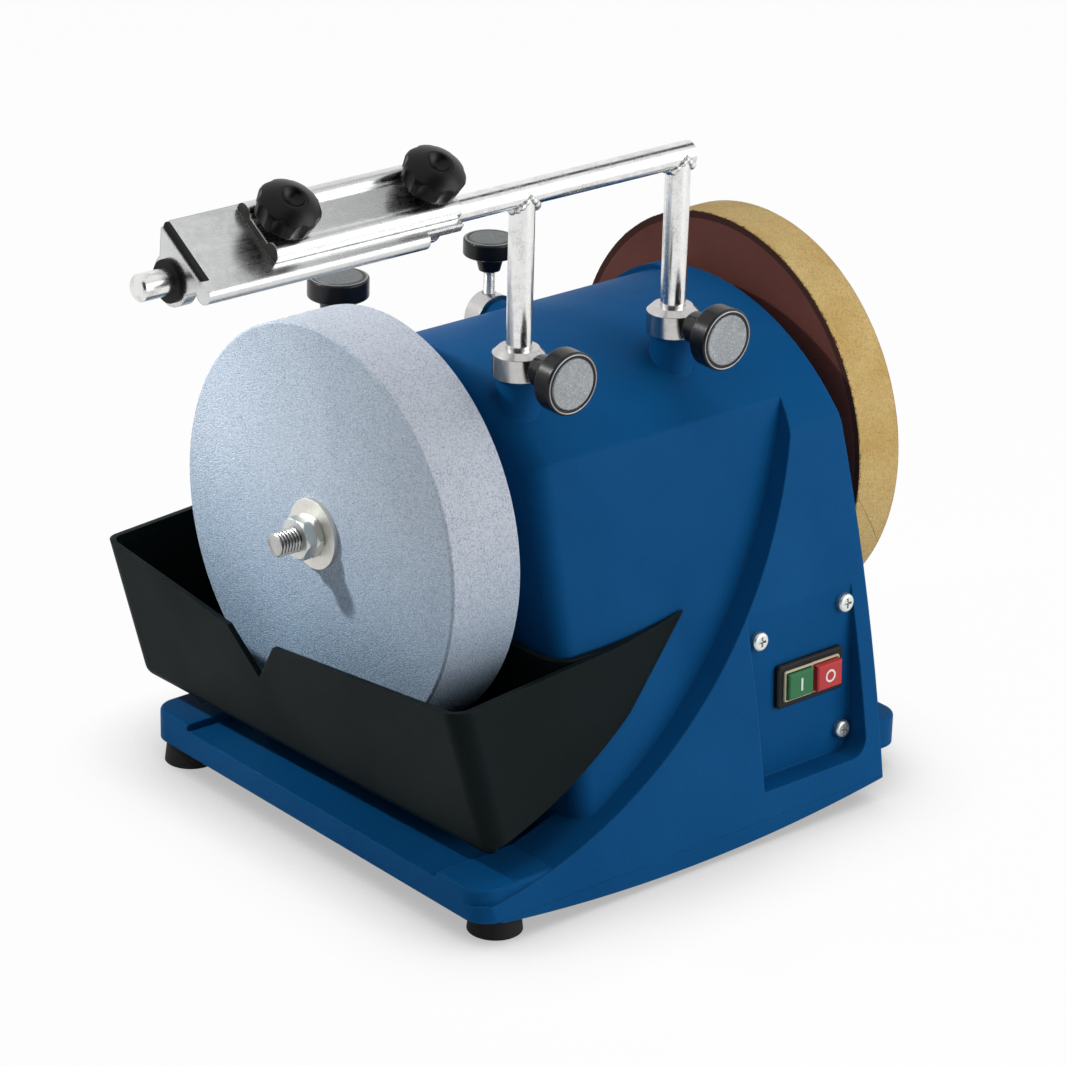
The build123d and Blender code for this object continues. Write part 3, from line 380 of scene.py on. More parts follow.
@dataclass(frozen=True)
class Finish:
    """A surface finish, which makes one material."""

    name: str
    colour: Colour
    roughness: float

    def material(self) -> bpy.types.Material:
        """Make the material, or fetch it once it is made.

        Returns:
            The material.
        """
        title = f"finish_{self.name}"
        made = bpy.data.materials.get(title)
        if made is None:
            made, graph = new_material(title)
            made.diffuse_color = (*self.colour, 1.0)
            shader = graph.add("ShaderNodeBsdfPrincipled")
            graph.fill(shader, self.paint(graph))
            graph.add("ShaderNodeOutputMaterial", {"Surface": shader.outputs["BSDF"]})
        return made

    def paint(self, graph: Graph) -> Values:
        """Inputs of the finish's shader; each kind of finish has its own."""
        raise NotImplementedError


@dataclass(frozen=True)
class Moulded(Finish):
    """Moulded plastic or rubber with a spark grain, dust, and lighter edges: wear and painted highlight.
    """

    shade: Colour = (0.0, 0.0, 0.0)
    # Colour of the lighter edges: wear, and a painted highlight.
    edge_wear_and_highlight: Colour = (0.2, 0.2, 0.2)
    grain: float = 1300.0
    depth: float = 0.00006
    edge: float = 0.0012
    rub: float = 0.35
    dust: float = 0.06
    dust_scale: float = 40.0
    gloss: float = 0.0
    gloss_roughness: float = 0.12
    shine: float = 0.15

    def paint(self, graph: Graph) -> Values:
        """Colour by patches, then edges, then dust; the grain makes the bump.

        Args:
            graph: Graph of the material.

        Returns:
            Inputs of the shader, by name.
        """
        grain = graph.effect(moulded_grain, Scale=self.grain)
        edges = graph.effect(outer_edge_mask, Width=self.edge)
        dust = graph.effect(settled_dust, Scale=self.dust_scale)
        colour = graph.mix(graph.ramp(grain["Tone"], *CLOUDS), self.shade, self.colour)
        # Lighter edges: partly wear, partly a painted highlight along the edges.
        edge_wear_and_highlight_mask = graph.plus(edges["Mask"], edges["Patchy"])
        colour = graph.mix(edge_wear_and_highlight_mask, colour, self.edge_wear_and_highlight, self.rub)
        dull = self.roughness + 0.06
        sleek = self.roughness - 0.05
        return {
            "Base Color": graph.mix(dust["Mask"], colour, DUST_GREY, self.dust),
            "Roughness": graph.ramp(grain["Tone"], *CLOUDS, dull, sleek),
            "Specular IOR Level": self.shine,
            "Coat Weight": self.gloss,
            "Coat Roughness": self.gloss_roughness,
            "Normal": graph.bump(grain["Height"], self.depth, self.edge),
        }


@dataclass(frozen=True)
class Plated(Finish):
    """Bright plated, drawn or cast metal with bloom, lines and wear on its edges."""

    dull: Colour = (0.3, 0.3, 0.3)
    run: tuple[float, float, float] = (900.0, 900.0, 900.0)
    bloom: float = 40.0
    bloom_dulls: float = 0.35
    lines_dull: float = 0.16
    worn_share: float = 0.5
    cover: float = 0.5
    depth: float = 0.00003
    edge: float = 0.0006

    def paint(self, graph: Graph) -> Values:
        """Bloom dulls the colour and the gloss; drawn lines make the bump.

        Args:
            graph: Graph of the material.

        Returns:
            Inputs of the shader, by name.
        """
        smears = graph.effect(handling_smears, Scale=self.bloom)
        lines = graph.effect(drawn_lines, X=self.run[0], Y=self.run[1], Z=self.run[2])["Lines"]
        edges = graph.effect(outer_edge_mask, Width=self.edge)
        broad = graph.ramp(smears["Broad"], 0.4, 0.66)
        mottle = graph.times(broad, graph.ramp(smears["Fine"], *CLOUDS))
        veil = graph.times(mottle, self.cover)
        colour = graph.mix(veil, self.colour, self.dull)
        dulled = graph.plus(graph.times(veil, self.bloom_dulls), graph.times(lines, self.lines_dull))
        return {
            "Base Color": graph.mix(edges["Patchy"], colour, self.colour, self.worn_share),
            "Metallic": 1.0,
            "Roughness": graph.plus(dulled, self.roughness),
            "Normal": graph.bump(lines, self.depth, self.edge),
        }


@dataclass(frozen=True)
class BondedStone(Finish):
    """Vitrified grinding stone: grains of many tones in a porous bond, trued rim, painted shade below.
    """

    trued: Colour = (0.65, 0.69, 0.775)
    # Colour that the painted shade darkens to towards the bottom.
    wet: Colour = (0.13, 0.32, 0.54)
    painted_shade_full: float = 0.05
    painted_shade_start: float = 0.18
    pale: Colour = (0.74, 0.8, 0.87)
    deep: Colour = (0.1, 0.15, 0.22)
    grain: float = 1800.0
    grain_share: float = 0.5
    depth: float = 0.0004
    clouds: float = 14.0
    cloud_share: float = 0.16
    painted_shade_share: float = 0.85
    chip: float = 0.0015
    chip_share: float = 0.35
    edge: float = 0.0008
    shine: float = 0.12

    def paint(self, graph: Graph) -> Values:
        """Speckle the bond with pale and deep grains over soft clouds.

        Args:
            graph: Graph of the material.

        Returns:
            Inputs of the shader, by name.
        """
        grit = graph.effect(bonded_grit, Scale=self.grain)
        smears = graph.effect(handling_smears, Scale=self.clouds)
        chips = graph.effect(outer_edge_mask, Width=self.chip)["Patchy"]
        rim = graph.ramp(graph.sideways(), 0.8, 0.3)
        colour = graph.mix(rim, self.colour, self.trued)
        cloudy = graph.ramp(smears["Broad"], 0.35, 0.7)
        colour = graph.mix(cloudy, colour, self.deep, self.cloud_share)
        # Painted shade: darker towards the bottom, by height in the world, whichever way the stone
        # turns.
        height = graph.part(graph.add("ShaderNodeNewGeometry").outputs["Position"], "Z")
        painted_shade = graph.ramp(height, self.painted_shade_start, self.painted_shade_full, 0.0, self.painted_shade_share)
        colour = graph.mix(painted_shade, colour, self.wet)
        colour = graph.mix(grit["Dark"], colour, self.deep, self.grain_share)
        colour = graph.mix(grit["Light"], colour, self.pale, self.grain_share)
        return {
            "Base Color": graph.mix(chips, colour, self.pale, self.chip_share),
            "Roughness": graph.ramp(grit["Cloud"], *CLOUDS, 0.8, self.roughness),
            "Specular IOR Level": self.shine,
            "Normal": graph.bump(grit["Height"], self.depth, self.edge),
        }


@dataclass(frozen=True)
class Suede(Finish):
    """Napped leather: tan with darker pores, brushed marks and a soft sheen."""

    dark: Colour = (0.3, 0.17, 0.06)
    pale: Colour = (0.75, 0.58, 0.32)
    cut: Colour = (0.085, 0.03, 0.022)
    grain: float = 1800.0
    depth: float = 0.00025
    clouds: float = 30.0
    pore_share: float = 0.3
    nap_share: float = 0.12
    rub: float = 0.0016
    rub_share: float = 0.35
    edge: float = 0.0006
    shine: float = 0.1
    sheen: float = 0.12
    sheen_roughness: float = 0.5

    def paint(self, graph: Graph) -> Values:
        """Clouds of nap, pores and marks along the turning direction.

        Args:
            graph: Graph of the material.

        Returns:
            Inputs of the shader, by name.
        """
        grit = graph.effect(bonded_grit, Scale=self.grain)
        smears = graph.effect(handling_smears, Scale=self.clouds)
        edges = graph.effect(outer_edge_mask, Width=self.rub)
        colour = graph.mix(graph.ramp(smears["Broad"], 0.3, 0.72), self.colour, self.pale)
        colour = graph.mix(grit["Dark"], colour, self.dark, self.pore_share)
        nap = graph.ramp(smears["Fine"], 0.45, 0.75)
        colour = graph.mix(nap, colour, self.dark, self.nap_share)
        colour = graph.mix(graph.ramp(graph.sideways(), 0.5, 0.9), colour, self.cut)
        rim = graph.plus(edges["Mask"], edges["Patchy"])
        height = graph.plus(grit["Height"], smears["Fine"])
        return {
            "Base Color": graph.mix(rim, colour, self.dark, self.rub_share),
            "Roughness": graph.ramp(grit["Cloud"], *CLOUDS, 0.98, self.roughness),
            "Specular IOR Level": self.shine,
            "Sheen Weight": self.sheen,
            "Sheen Roughness": self.sheen_roughness,
            "Normal": graph.bump(height, self.depth, self.edge),
        }


@dataclass(frozen=True)
class Flaked(Finish):
    """Metallic paint or foil whose flakes catch the light one by one."""

    bright: Colour = (0.8, 0.8, 0.8)
    deep: Colour = (0.2, 0.2, 0.2)
    flake: float = 2400.0
    flake_share: float = 0.4
    depth: float = 0.00012
    clouds: float = 60.0
    veil_share: float = 0.3
    edge: float = 0.0005
    metal: float = 0.55

    def paint(self, graph: Graph) -> Values:
        """Bright and deep flakes over the body colour.

        Args:
            graph: Graph of the material.

        Returns:
            Inputs of the shader, by name.
        """
        grit = graph.effect(bonded_grit, Scale=self.flake)
        smears = graph.effect(handling_smears, Scale=self.clouds)
        colour = graph.mix(grit["Light"], self.colour, self.bright, self.flake_share)
        colour = graph.mix(grit["Dark"], colour, self.deep, self.flake_share)
        veil = graph.ramp(smears["Broad"], 0.4, 0.7)
        dull = self.roughness + 0.12
        sleek = self.roughness - 0.08
        return {
            "Base Color": graph.mix(veil, colour, self.deep, self.veil_share),
            "Metallic": self.metal,
            "Roughness": graph.ramp(grit["Cloud"], *CLOUDS, dull, sleek),
            "Normal": graph.bump(grit["Height"], self.depth, self.edge),
        }


@dataclass(frozen=True)
class Finishes:
    """Every finish of the machine."""

    # The blue's lighter edges are a painted highlight along its edges and creases.
    blue: Moulded = Moulded(
        "blue_moulding", (0.0034, 0.078, 0.226), 0.48, shade=(0.0027, 0.066, 0.199),
        edge_wear_and_highlight=(0.02, 0.14, 0.34), grain=1150.0, depth=0.00011, edge=0.0016, rub=0.25, dust=0.004,
        shine=0.03,
    )
    # The tray's lighter edges are a painted highlight along its rim.
    tray: Moulded = Moulded(
        "black_tray", (0.0058, 0.0106, 0.0112), 0.46, shade=(0.0043, 0.0078, 0.0082),
        edge_wear_and_highlight=(0.03, 0.04, 0.041), grain=1500.0, depth=0.00005, edge=0.001, rub=0.35, dust=0.01,
        shine=0.04,
    )
    rubber: Moulded = Moulded(
        "black_rubber", (0.016, 0.016, 0.017), 0.72, shade=(0.011, 0.011, 0.011),
        edge_wear_and_highlight=(0.05, 0.05, 0.05), grain=1800.0, depth=0.00006, rub=0.3, dust=0.1,
    )
    knob: Moulded = Moulded(
        "knob_black", (0.006, 0.006, 0.0066), 0.27, shade=(0.0045, 0.0045, 0.005),
        edge_wear_and_highlight=(0.03, 0.03, 0.032), grain=2200.0, depth=0.00002, edge=0.0009, rub=0.3, dust=0.008,
        shine=0.3,
    )
    # The star knobs' lighter edges are a painted highlight on their lobes.
    star: Moulded = Moulded(
        "star_black", (0.004, 0.004, 0.0044), 0.32, shade=(0.003, 0.003, 0.0034),
        edge_wear_and_highlight=(0.05, 0.05, 0.053), grain=2200.0, depth=0.00001, edge=0.0009, rub=0.5, dust=0.004,
        shine=0.2,
    )
    bush: Moulded = Moulded(
        "jig_bush_plastic", (0.014, 0.014, 0.014), 0.48, shade=(0.01, 0.01, 0.01),
        edge_wear_and_highlight=(0.05, 0.05, 0.05), grain=2000.0, depth=0.00003, edge=0.0006, rub=0.3, dust=0.03,
    )
    wheel: Moulded = Moulded(
        "wheel_plastic", (0.05, 0.05, 0.053), 0.5, shade=(0.035, 0.035, 0.037),
        edge_wear_and_highlight=(0.12, 0.12, 0.12), dust=0.12,
    )
    bezel: Moulded = Moulded(
        "switch_black", (0.011, 0.011, 0.012), 0.3, shade=(0.009, 0.009, 0.01),
        edge_wear_and_highlight=(0.07, 0.07, 0.07), grain=2400.0, depth=0.000015, edge=0.0006, rub=0.3, dust=0.04,
    )
    green: Moulded = Moulded(
        "button_green", (0.014, 0.165, 0.052), 0.26, shade=(0.011, 0.14, 0.043),
        edge_wear_and_highlight=(0.12, 0.36, 0.2), grain=2600.0, depth=0.00001, edge=0.0006, rub=0.3, dust=0.03,
        gloss=0.4,
    )
    red: Moulded = Moulded(
        "button_red", (0.52, 0.026, 0.03), 0.26, shade=(0.46, 0.02, 0.024),
        edge_wear_and_highlight=(0.74, 0.2, 0.19), grain=2600.0, depth=0.00001, edge=0.0006, rub=0.35, dust=0.03,
        gloss=0.4,
    )
    ivory: Moulded = Moulded(
        "switch_ivory", (0.66, 0.6, 0.42), 0.35, shade=(0.58, 0.5, 0.32),
        edge_wear_and_highlight=(0.8, 0.77, 0.66), grain=2600.0, depth=0.00001, edge=0.0004, dust=0.02, gloss=0.3,
    )
    mark: Moulded = Moulded(
        "mark_white", (0.8, 0.8, 0.78), 0.4, shade=(0.74, 0.74, 0.72),
        edge_wear_and_highlight=(0.86, 0.86, 0.85), grain=2600.0, depth=0.00001, edge=0.0002, dust=0.02,
    )
    core: Moulded = Moulded(
        "wine_core", (0.225, 0.078, 0.06), 0.66, shade=(0.16, 0.054, 0.042),
        edge_wear_and_highlight=(0.17, 0.07, 0.055), grain=900.0, depth=0.00012, edge=0.001, rub=0.3, dust=0.02,
    )
    bright: Plated = Plated(
        "bright_steel", (0.82, 0.82, 0.81), 0.08, dull=(0.4, 0.41, 0.42), bloom=70.0, cover=0.3,
        depth=0.00001,
    )
    collar: Plated = Plated(
        "collar_steel", (0.56, 0.55, 0.54), 0.1, dull=(0.3, 0.3, 0.3), run=(260.0, 260.0, 2200.0),
        bloom=60.0, cover=0.35, depth=0.00001,
    )
    ring: Plated = Plated("ring_steel", (0.36, 0.37, 0.38), 0.24, dull=(0.2, 0.2, 0.2), bloom=90.0)
    nut: Plated = Plated(
        "nut_steel", (0.64, 0.67, 0.65), 0.3, dull=(0.4, 0.42, 0.41), bloom=120.0, cover=0.3,
        edge=0.0003,
    )
    thread: Plated = Plated(
        "thread_steel", (0.5, 0.5, 0.49), 0.2, dull=(0.24, 0.24, 0.24), run=(2400.0, 300.0, 300.0),
        bloom=150.0,
    )
    # Dark steel for painted shade in the thread roots and on the clamp plate's left end face.
    root: Plated = Plated(
        "painted_shade_steel", (0.1, 0.095, 0.09), 0.5, dull=(0.04, 0.038, 0.035), bloom=200.0, cover=0.8,
    )
    drawn_x: Plated = Plated(
        "drawn_bar", (0.82, 0.82, 0.81), 0.1, dull=(0.3, 0.31, 0.32), run=(260.0, 1500.0, 1500.0),
        bloom=110.0, cover=0.6, depth=0.00002,
    )
    drawn_z: Plated = Plated(
        "drawn_leg", (0.82, 0.82, 0.81), 0.1, dull=(0.36, 0.37, 0.38), run=(1500.0, 1500.0, 260.0),
        bloom=110.0, cover=0.45, depth=0.00002,
    )
    weld: Plated = Plated(
        "weld_bead", (0.74, 0.74, 0.73), 0.22, dull=(0.16, 0.16, 0.17), run=(700.0, 700.0, 700.0),
        bloom=260.0, cover=0.85, depth=0.0002,
    )
    jig: Plated = Plated(
        "jig_zinc", (0.68, 0.685, 0.685), 0.16, dull=(0.32, 0.33, 0.34), run=(40.0, 1300.0, 1300.0),
        bloom=30.0, cover=0.35, depth=0.00003, edge=0.0016,
    )
    turned: Plated = Plated(
        "turned_steel", (0.66, 0.66, 0.65), 0.24, dull=(0.28, 0.28, 0.28), run=(2400.0, 300.0, 300.0),
        bloom=60.0,
    )
    washer: Plated = Plated(
        "washer_zinc", (0.74, 0.73, 0.68), 0.4, dull=(0.5, 0.49, 0.45), run=(500.0, 900.0, 900.0),
        bloom=50.0, cover=0.35,
    )
    sheet: Plated = Plated(
        "sheet_steel", (0.56, 0.57, 0.58), 0.34, dull=(0.36, 0.37, 0.38), bloom=45.0, cover=0.7,
    )
    alloy: Plated = Plated(
        "cast_alloy", (0.6, 0.6, 0.6), 0.45, dull=(0.42, 0.42, 0.42), bloom=120.0, depth=0.00008,
    )
    bronze: Plated = Plated(
        "bush_bronze", (0.55, 0.36, 0.15), 0.32, dull=(0.28, 0.17, 0.07), run=(2000.0, 400.0, 400.0),
    )
    copper: Plated = Plated(
        "copper_coil", (0.5, 0.2, 0.08), 0.35, dull=(0.3, 0.1, 0.04), run=(200.0, 2200.0, 2200.0),
        depth=0.0002,
    )
    stone: BondedStone = BondedStone("grey_stone", (0.565, 0.655, 0.77), 0.95)
    leather: Suede = Suede(
        "tan_leather", (0.58, 0.385, 0.13), 0.86, dark=(0.11, 0.045, 0.022), pale=(0.68, 0.5, 0.21)
    )
    fray: Suede = Suede(
        "leather_fray", (0.13, 0.06, 0.035), 0.9, dark=(0.05, 0.02, 0.015), pale=(0.2, 0.1, 0.055)
    )
    cap: Flaked = Flaked(
        "cap_grey", (0.27, 0.29, 0.305), 0.42, bright=(0.68, 0.7, 0.72), deep=(0.1, 0.105, 0.11)
    )
    # Darker copy of the grey cap for the rear thumbscrews: painted shade.
    painted_shade_cap: Flaked = Flaked(
        "cap_grey_painted_shade", (0.13, 0.14, 0.145), 0.42, bright=(0.34, 0.36, 0.36), deep=(0.055, 0.06, 0.06)
    )


def smooth(mesh: bpy.types.Mesh, angle: float) -> None:
    """Shade a mesh smooth, with edges over angle degrees kept sharp."""
    mesh.shade_smooth()
    mesh.set_sharp_from_angle(angle=math.radians(angle))


@dataclass
class Bench:
    """What the sub-assemblies share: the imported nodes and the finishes."""

    nodes: dict[str, bpy.types.Object]
    looks: Finishes = field(default_factory=Finishes)
    pieces: list[str] = field(default_factory=list)

    def dress(self, finish: Finish, *names: str) -> None:
        """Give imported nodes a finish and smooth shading.

        Args:
            finish: Finish to give.
            names: Nodes to dress.
        """
        for name in names:
            node = self.nodes[name]
            node.data.materials.clear()
            node.data.materials.append(finish.material())
            smooth(node.data, NODE_ANGLE)
            log.info("dressed %s in %s", name, finish.name)

    def extent(self, name: str, direction: Vector) -> tuple[float, float]:
        """Lowest and highest reach of a node along a unit direction."""
        reach = [vertex.co.dot(direction) for vertex in self.nodes[name].data.vertices]
        return min(reach), max(reach)

    def middle(self, name: str) -> Vector:
        """Middle of a node's box."""
        low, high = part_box(name)
        return (low + high) / 2

    def end(self, name: str, axis: Vector, last: bool) -> Vector:
        """Find where a node's middle line ends.

        Args:
            name: Name of the node.
            axis: Unit direction of the line.
            last: Whether the far end is meant, not the near one.

        Returns:
            The point.
        """
        centre = self.middle(name)
        first, final = self.extent(name, axis)
        return centre + axis * ((final if last else first) - centre.dot(axis))

    @staticmethod
    def stain(
        made: bpy.types.Object, finish: Finish, picks: Callable[[bpy.types.MeshPolygon], bool]
    ) -> None:
        """Give some faces of a piece a second finish.

        Args:
            made: Piece to stain.
            finish: Finish of the picked faces.
            picks: Tells whether a face is picked.
        """
        made.data.materials.append(finish.material())
        for face in made.data.polygons:
            if picks(face):
                face.material_index = 1

    def piece(
        self, name: str, mesh: Mesh, finish: Finish, body: str, slot: str, angle: float = 40.0
    ) -> bpy.types.Object:
        """Make a piece that rides on a body.

        Args:
            name: Name of the piece.
            mesh: Points and faces.
            finish: Finish of the piece.
            body: Body it moves with.
            slot: Material slot of the record that it takes after; not used.
            angle: Edges sharper than this, in degrees, stay sharp.

        Returns:
            The new object.
        """
        data = bpy.data.meshes.new(name)
        data.from_pydata([tuple(point) for point in mesh[0]], [], mesh[1])
        data.validate()
        data.update()
        data.materials.append(finish.material())
        smooth(data, angle)
        made = bpy.data.objects.new(name, data)
        bpy.context.scene.collection.objects.link(made)
        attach(made, body)
        self.pieces.append(name)
        log.info("built %s with %d faces", name, len(mesh[1]))
        return made


def across(axis: Vector) -> tuple[Vector, Vector]:
    """Find two directions square to an axis, which make a right-handed frame with it.

    Args:
        axis: Unit direction.

    Returns:
        The two unit directions.
    """
    helper = Vector((0, 0, 1)) if abs(axis.z) < 0.9 else Vector((0, 1, 0))
    side = helper.cross(axis).normalized()
    return side, axis.cross(side)


def skin(rows: Sequence[Sequence[Vector]], closed: bool = False, caps: bool = False) -> Mesh:
    """Quads between rows of points, each row a closed ring.

    Args:
        rows: Rings with the same number of points.
        closed: Whether the last ring joins the first.
        caps: Whether the end rings are filled.

    Returns:
        Points and faces.
    """
    points = [point for row in rows for point in row]
    count = len(rows[0])
    faces: list[tuple[int, ...]] = []
    last = len(rows) if closed else len(rows) - 1
    for i in range(last):
        here = i * count
        there = ((i + 1) % len(rows)) * count
        for j in range(count):
            k = (j + 1) % count
            faces.append((here + j, here + k, there + k, there + j))
    if caps:
        faces.append(tuple(reversed(range(count))))
        faces.append(tuple(range(len(points) - count, len(points))))
    return points, faces


def lathe(profile: Sequence[tuple[float, float]], base: Vector, axis: Vector, steps: int) -> Mesh:
    """Turn a closed profile about an axis.

    Args:
        profile: Points as (along the axis, radius).
        base: Point on the axis from which lengths along it are counted.
        axis: Unit direction.
        steps: Facets of the full turn.

    Returns:
        Points and faces.
    """
    side, other = across(axis)
    rows = []
    for i in range(steps):
        turn = math.tau * i / steps
        out = side * math.cos(turn) + other * math.sin(turn)
        rows.append([base + axis * along + out * radius for along, radius in profile])
    return skin(rows, closed=True)


def bead(path: Sequence[Vector], outs: Sequence[Vector], radii: Sequence[float], sides: int) -> Mesh:
    """Closed round bead along a path.

    Args:
        path: Points of the loop.
        outs: Unit direction at each point that the bead's section starts from.
        radii: Radius at each point.
        sides: Facets of the section.

    Returns:
        Points and faces.
    """
    rows = []
    for i, point in enumerate(path):
        ahead = (path[(i + 1) % len(path)] - path[i - 1]).normalized()
        out = (outs[i] - ahead * outs[i].dot(ahead)).normalized()
        other = ahead.cross(out)
        turns = [math.tau * j / sides for j in range(sides)]
        rows.append([point + (out * math.cos(t) + other * math.sin(t)) * radii[i] for t in turns])
    return skin(rows, closed=True)


def threaded_rod(
    start: Vector, axis: Vector, length: float, radius: float, pitch: float,
    cut: Sequence[tuple[float, float]], sides: int,
) -> Mesh:
    """Rod with real helical threads and chamfered ends.

    Args:
        start: Middle of the first end.
        axis: Unit direction.
        length: Length of the rod.
        radius: Outer radius.
        pitch: Rise of one turn.
        cut: Threaded stretches as (from, to) along the rod.
        sides: Facets of the rod.

    Returns:
        Points and faces.
    """
    depth = 0.54 * pitch
    rows_per_turn = 8
    stops = {0.0, length}
    for first, final in cut:
        steps = max(2, round((final - first) / pitch * rows_per_turn))
        stops.update(first + (final - first) * i / steps for i in range(steps + 1))
    side, other = across(axis)
    rows = []
    for along in sorted(stops):
        threaded = any(first <= along <= final for first, final in cut)
        limit = radius - depth + min(along, length - along)
        row = []
        for j in range(sides):
            turn = math.tau * j / sides
            wave = abs(2 * ((along / pitch + j / sides) % 1.0) - 1)
            groove = depth * max(0.0, 1.25 * wave - 0.25) if threaded else 0.0
            reach = min(radius - groove, limit)
            row.append(start + axis * along + (side * math.cos(turn) + other * math.sin(turn)) * reach)
        rows.append(row)
    return skin(rows, caps=True)


def outline(half_wide: float, half_high: float, radius: float, step: int) -> list[tuple[float, float]]:
    """Set out a rectangle grown by a radius.

    Args:
        half_wide: Half the rectangle's width.
        half_high: Half its height.
        radius: How far it is grown, with round corners.
        step: Degrees between the points of a corner.

    Returns:
        Points as (across, up).
    """
    nudge = 1e-6
    spots = []
    for quarter in range(0, 360, 90):
        for angle in range(quarter, quarter + 91, step):
            turn = math.radians(angle)
            u = math.copysign(half_wide, math.cos(turn + nudge))
            v = math.copysign(half_high, math.sin(turn + nudge))
            spots.append((u + radius * math.cos(turn), v + radius * math.sin(turn)))
    return spots


def rounded_bar(
    middle: Vector, frame: tuple[Vector, Vector, Vector], size: tuple[float, float, float], radius: float
) -> Mesh:
    """Bar with a rounded outline and a broken top edge.

    Args:
        middle: Middle of its underside.
        frame: Directions of width, height and thickness.
        size: Width, height and thickness.
        radius: Radius of the outline's corners.

    Returns:
        Points and faces.
    """
    wide, high, thick = size
    rows = []
    for level, inset in ((0.0, 0.0), (0.75, 0.0), (0.93, 0.1), (1.0, 0.3)):
        reach = radius - inset * min(radius, thick)
        rise = frame[2] * (thick * level)
        spots = outline(wide / 2 - radius, high / 2 - radius, reach, 15)
        rows.append([middle + frame[0] * u + frame[1] * v + rise for u, v in spots])
    return skin(rows, caps=True)


@dataclass
class Drive:
    """Motor and friction drive inside the housing."""

    bench: Bench

    def dress(self) -> None:
        """Dress the unseen works."""
        looks = self.bench.looks
        self.bench.dress(looks.wheel, "drive_wheel", "motor_fan")
        self.bench.dress(looks.rubber, "drive_tyre")
        self.bench.dress(looks.turned, "drive_roller", "motor_shaft", "motor_rotor", "motor_stator")
        self.bench.dress(looks.turned, "motor_bearings")
        self.bench.dress(looks.copper, "motor_windings")
        self.bench.dress(looks.alloy, "motor_shield_left", "motor_shield_right", "run_capacitor")
        self.bench.dress(looks.sheet, "motor_bracket", "motor_screws")


@dataclass
class GrindingStone:
    """The stone."""

    bench: Bench

    def dress(self) -> None:
        """Dress the stone in its speckled bond."""
        self.bench.dress(self.bench.looks.stone, "grinding_stone")


@dataclass
class WaterTray:
    """Black water tray."""

    bench: Bench

    def dress(self) -> None:
        """Dress the tray."""
        self.bench.dress(self.bench.looks.tray, "water_tray")


@dataclass
class Housing:
    """Blue moulding with its bowed front skirt and what closes it underneath."""

    bench: Bench
    wall: float = 2.5 * MM
    start: float = 12.0 * MM
    length: float = 241.0 * MM
    drop: float = 9.5 * MM
    end_drop: float = 1.2 * MM
    edge: float = 0.5 * MM
    set_back: float = 0.02 * MM
    overlap: float = 0.4 * MM
    steps: int = 48

    def dress(self) -> None:
        """Dress the moulding, cover, feet, screws, grommet and bushes."""
        looks = self.bench.looks
        self.bench.dress(looks.blue, "housing")
        self.bench.dress(looks.sheet, "bottom_cover", "base_screws")
        self.bench.dress(looks.rubber, "rubber_feet", "cable_grommet")
        self.bench.dress(looks.bronze, "shaft_bush_left", "shaft_bush_right")

    def build(self) -> None:
        """Hang the skirt, lowest in the middle between its ends."""
        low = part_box("housing")[0]
        rows = []
        for i in range(self.steps + 1):
            share = i / self.steps
            drop = self.end_drop + 4 * share * (1 - share) * (self.drop - self.end_drop)
            x = low.x + self.start + self.length * share
            section = (
                (self.set_back, self.overlap),
                (self.set_back, self.edge - drop),
                (self.edge, -drop),
                (self.wall, -drop),
                (self.wall, self.overlap),
            )
            rows.append([Vector((x, low.y + back, low.z + rise)) for back, rise in section])
        mesh = skin(rows, caps=True)
        finish = self.bench.looks.blue
        self.bench.piece("front_skirt", mesh, finish, "housing", "blue_moulding", angle=30.0)


@dataclass
class Spindle:
    """Main shaft with its threads, and the metal clamped on it."""

    bench: Bench
    pitch: float = 1.75 * MM
    root_share: float = 0.3
    face_margin: float = 0.5 * MM
    sides: int = 36

    def dress(self) -> None:
        """Dress the shaft and what is clamped on it."""
        looks = self.bench.looks
        self.bench.dress(looks.turned, "main_shaft", "stone_flange", "honing_spacer")
        self.bench.dress(looks.washer, "shaft_washers")
        self.bench.dress(looks.nut, "shaft_nuts")

    def build(self) -> None:
        """Cut real threads on both ends of the shaft, with painted shade in their roots."""
        low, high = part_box("main_shaft")
        start = Vector((low.x, (low.y + high.y) / 2, (low.z + high.z) / 2))
        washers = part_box("shaft_washers")
        length = high.x - low.x
        cut = ((0.0, washers[0].x - low.x), (washers[1].x - low.x, length))
        radius = (high.z - low.z) / 2
        mesh = threaded_rod(start, X_AXIS, length, radius, self.pitch, cut, self.sides)
        finish = self.bench.looks.thread
        shaft = self.bench.piece("threaded_shaft", mesh, finish, "shaft", "turned_steel", angle=50.0)
        inside = radius - self.root_share * self.pitch

        def deep(face: bpy.types.MeshPolygon) -> bool:
            """Tell whether a face lies in a thread's root, clear of both end faces.

            Args:
                face: Face to look at.

            Returns:
                Whether it does.
            """
            off = face.center - start
            clear = self.face_margin < off.x < length - self.face_margin
            return clear and math.hypot(off.y, off.z) < inside

        # Painted shade: faces deep in the thread roots take the dark steel.
        self.bench.stain(shaft, self.bench.looks.root, deep)
        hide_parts("main_shaft")


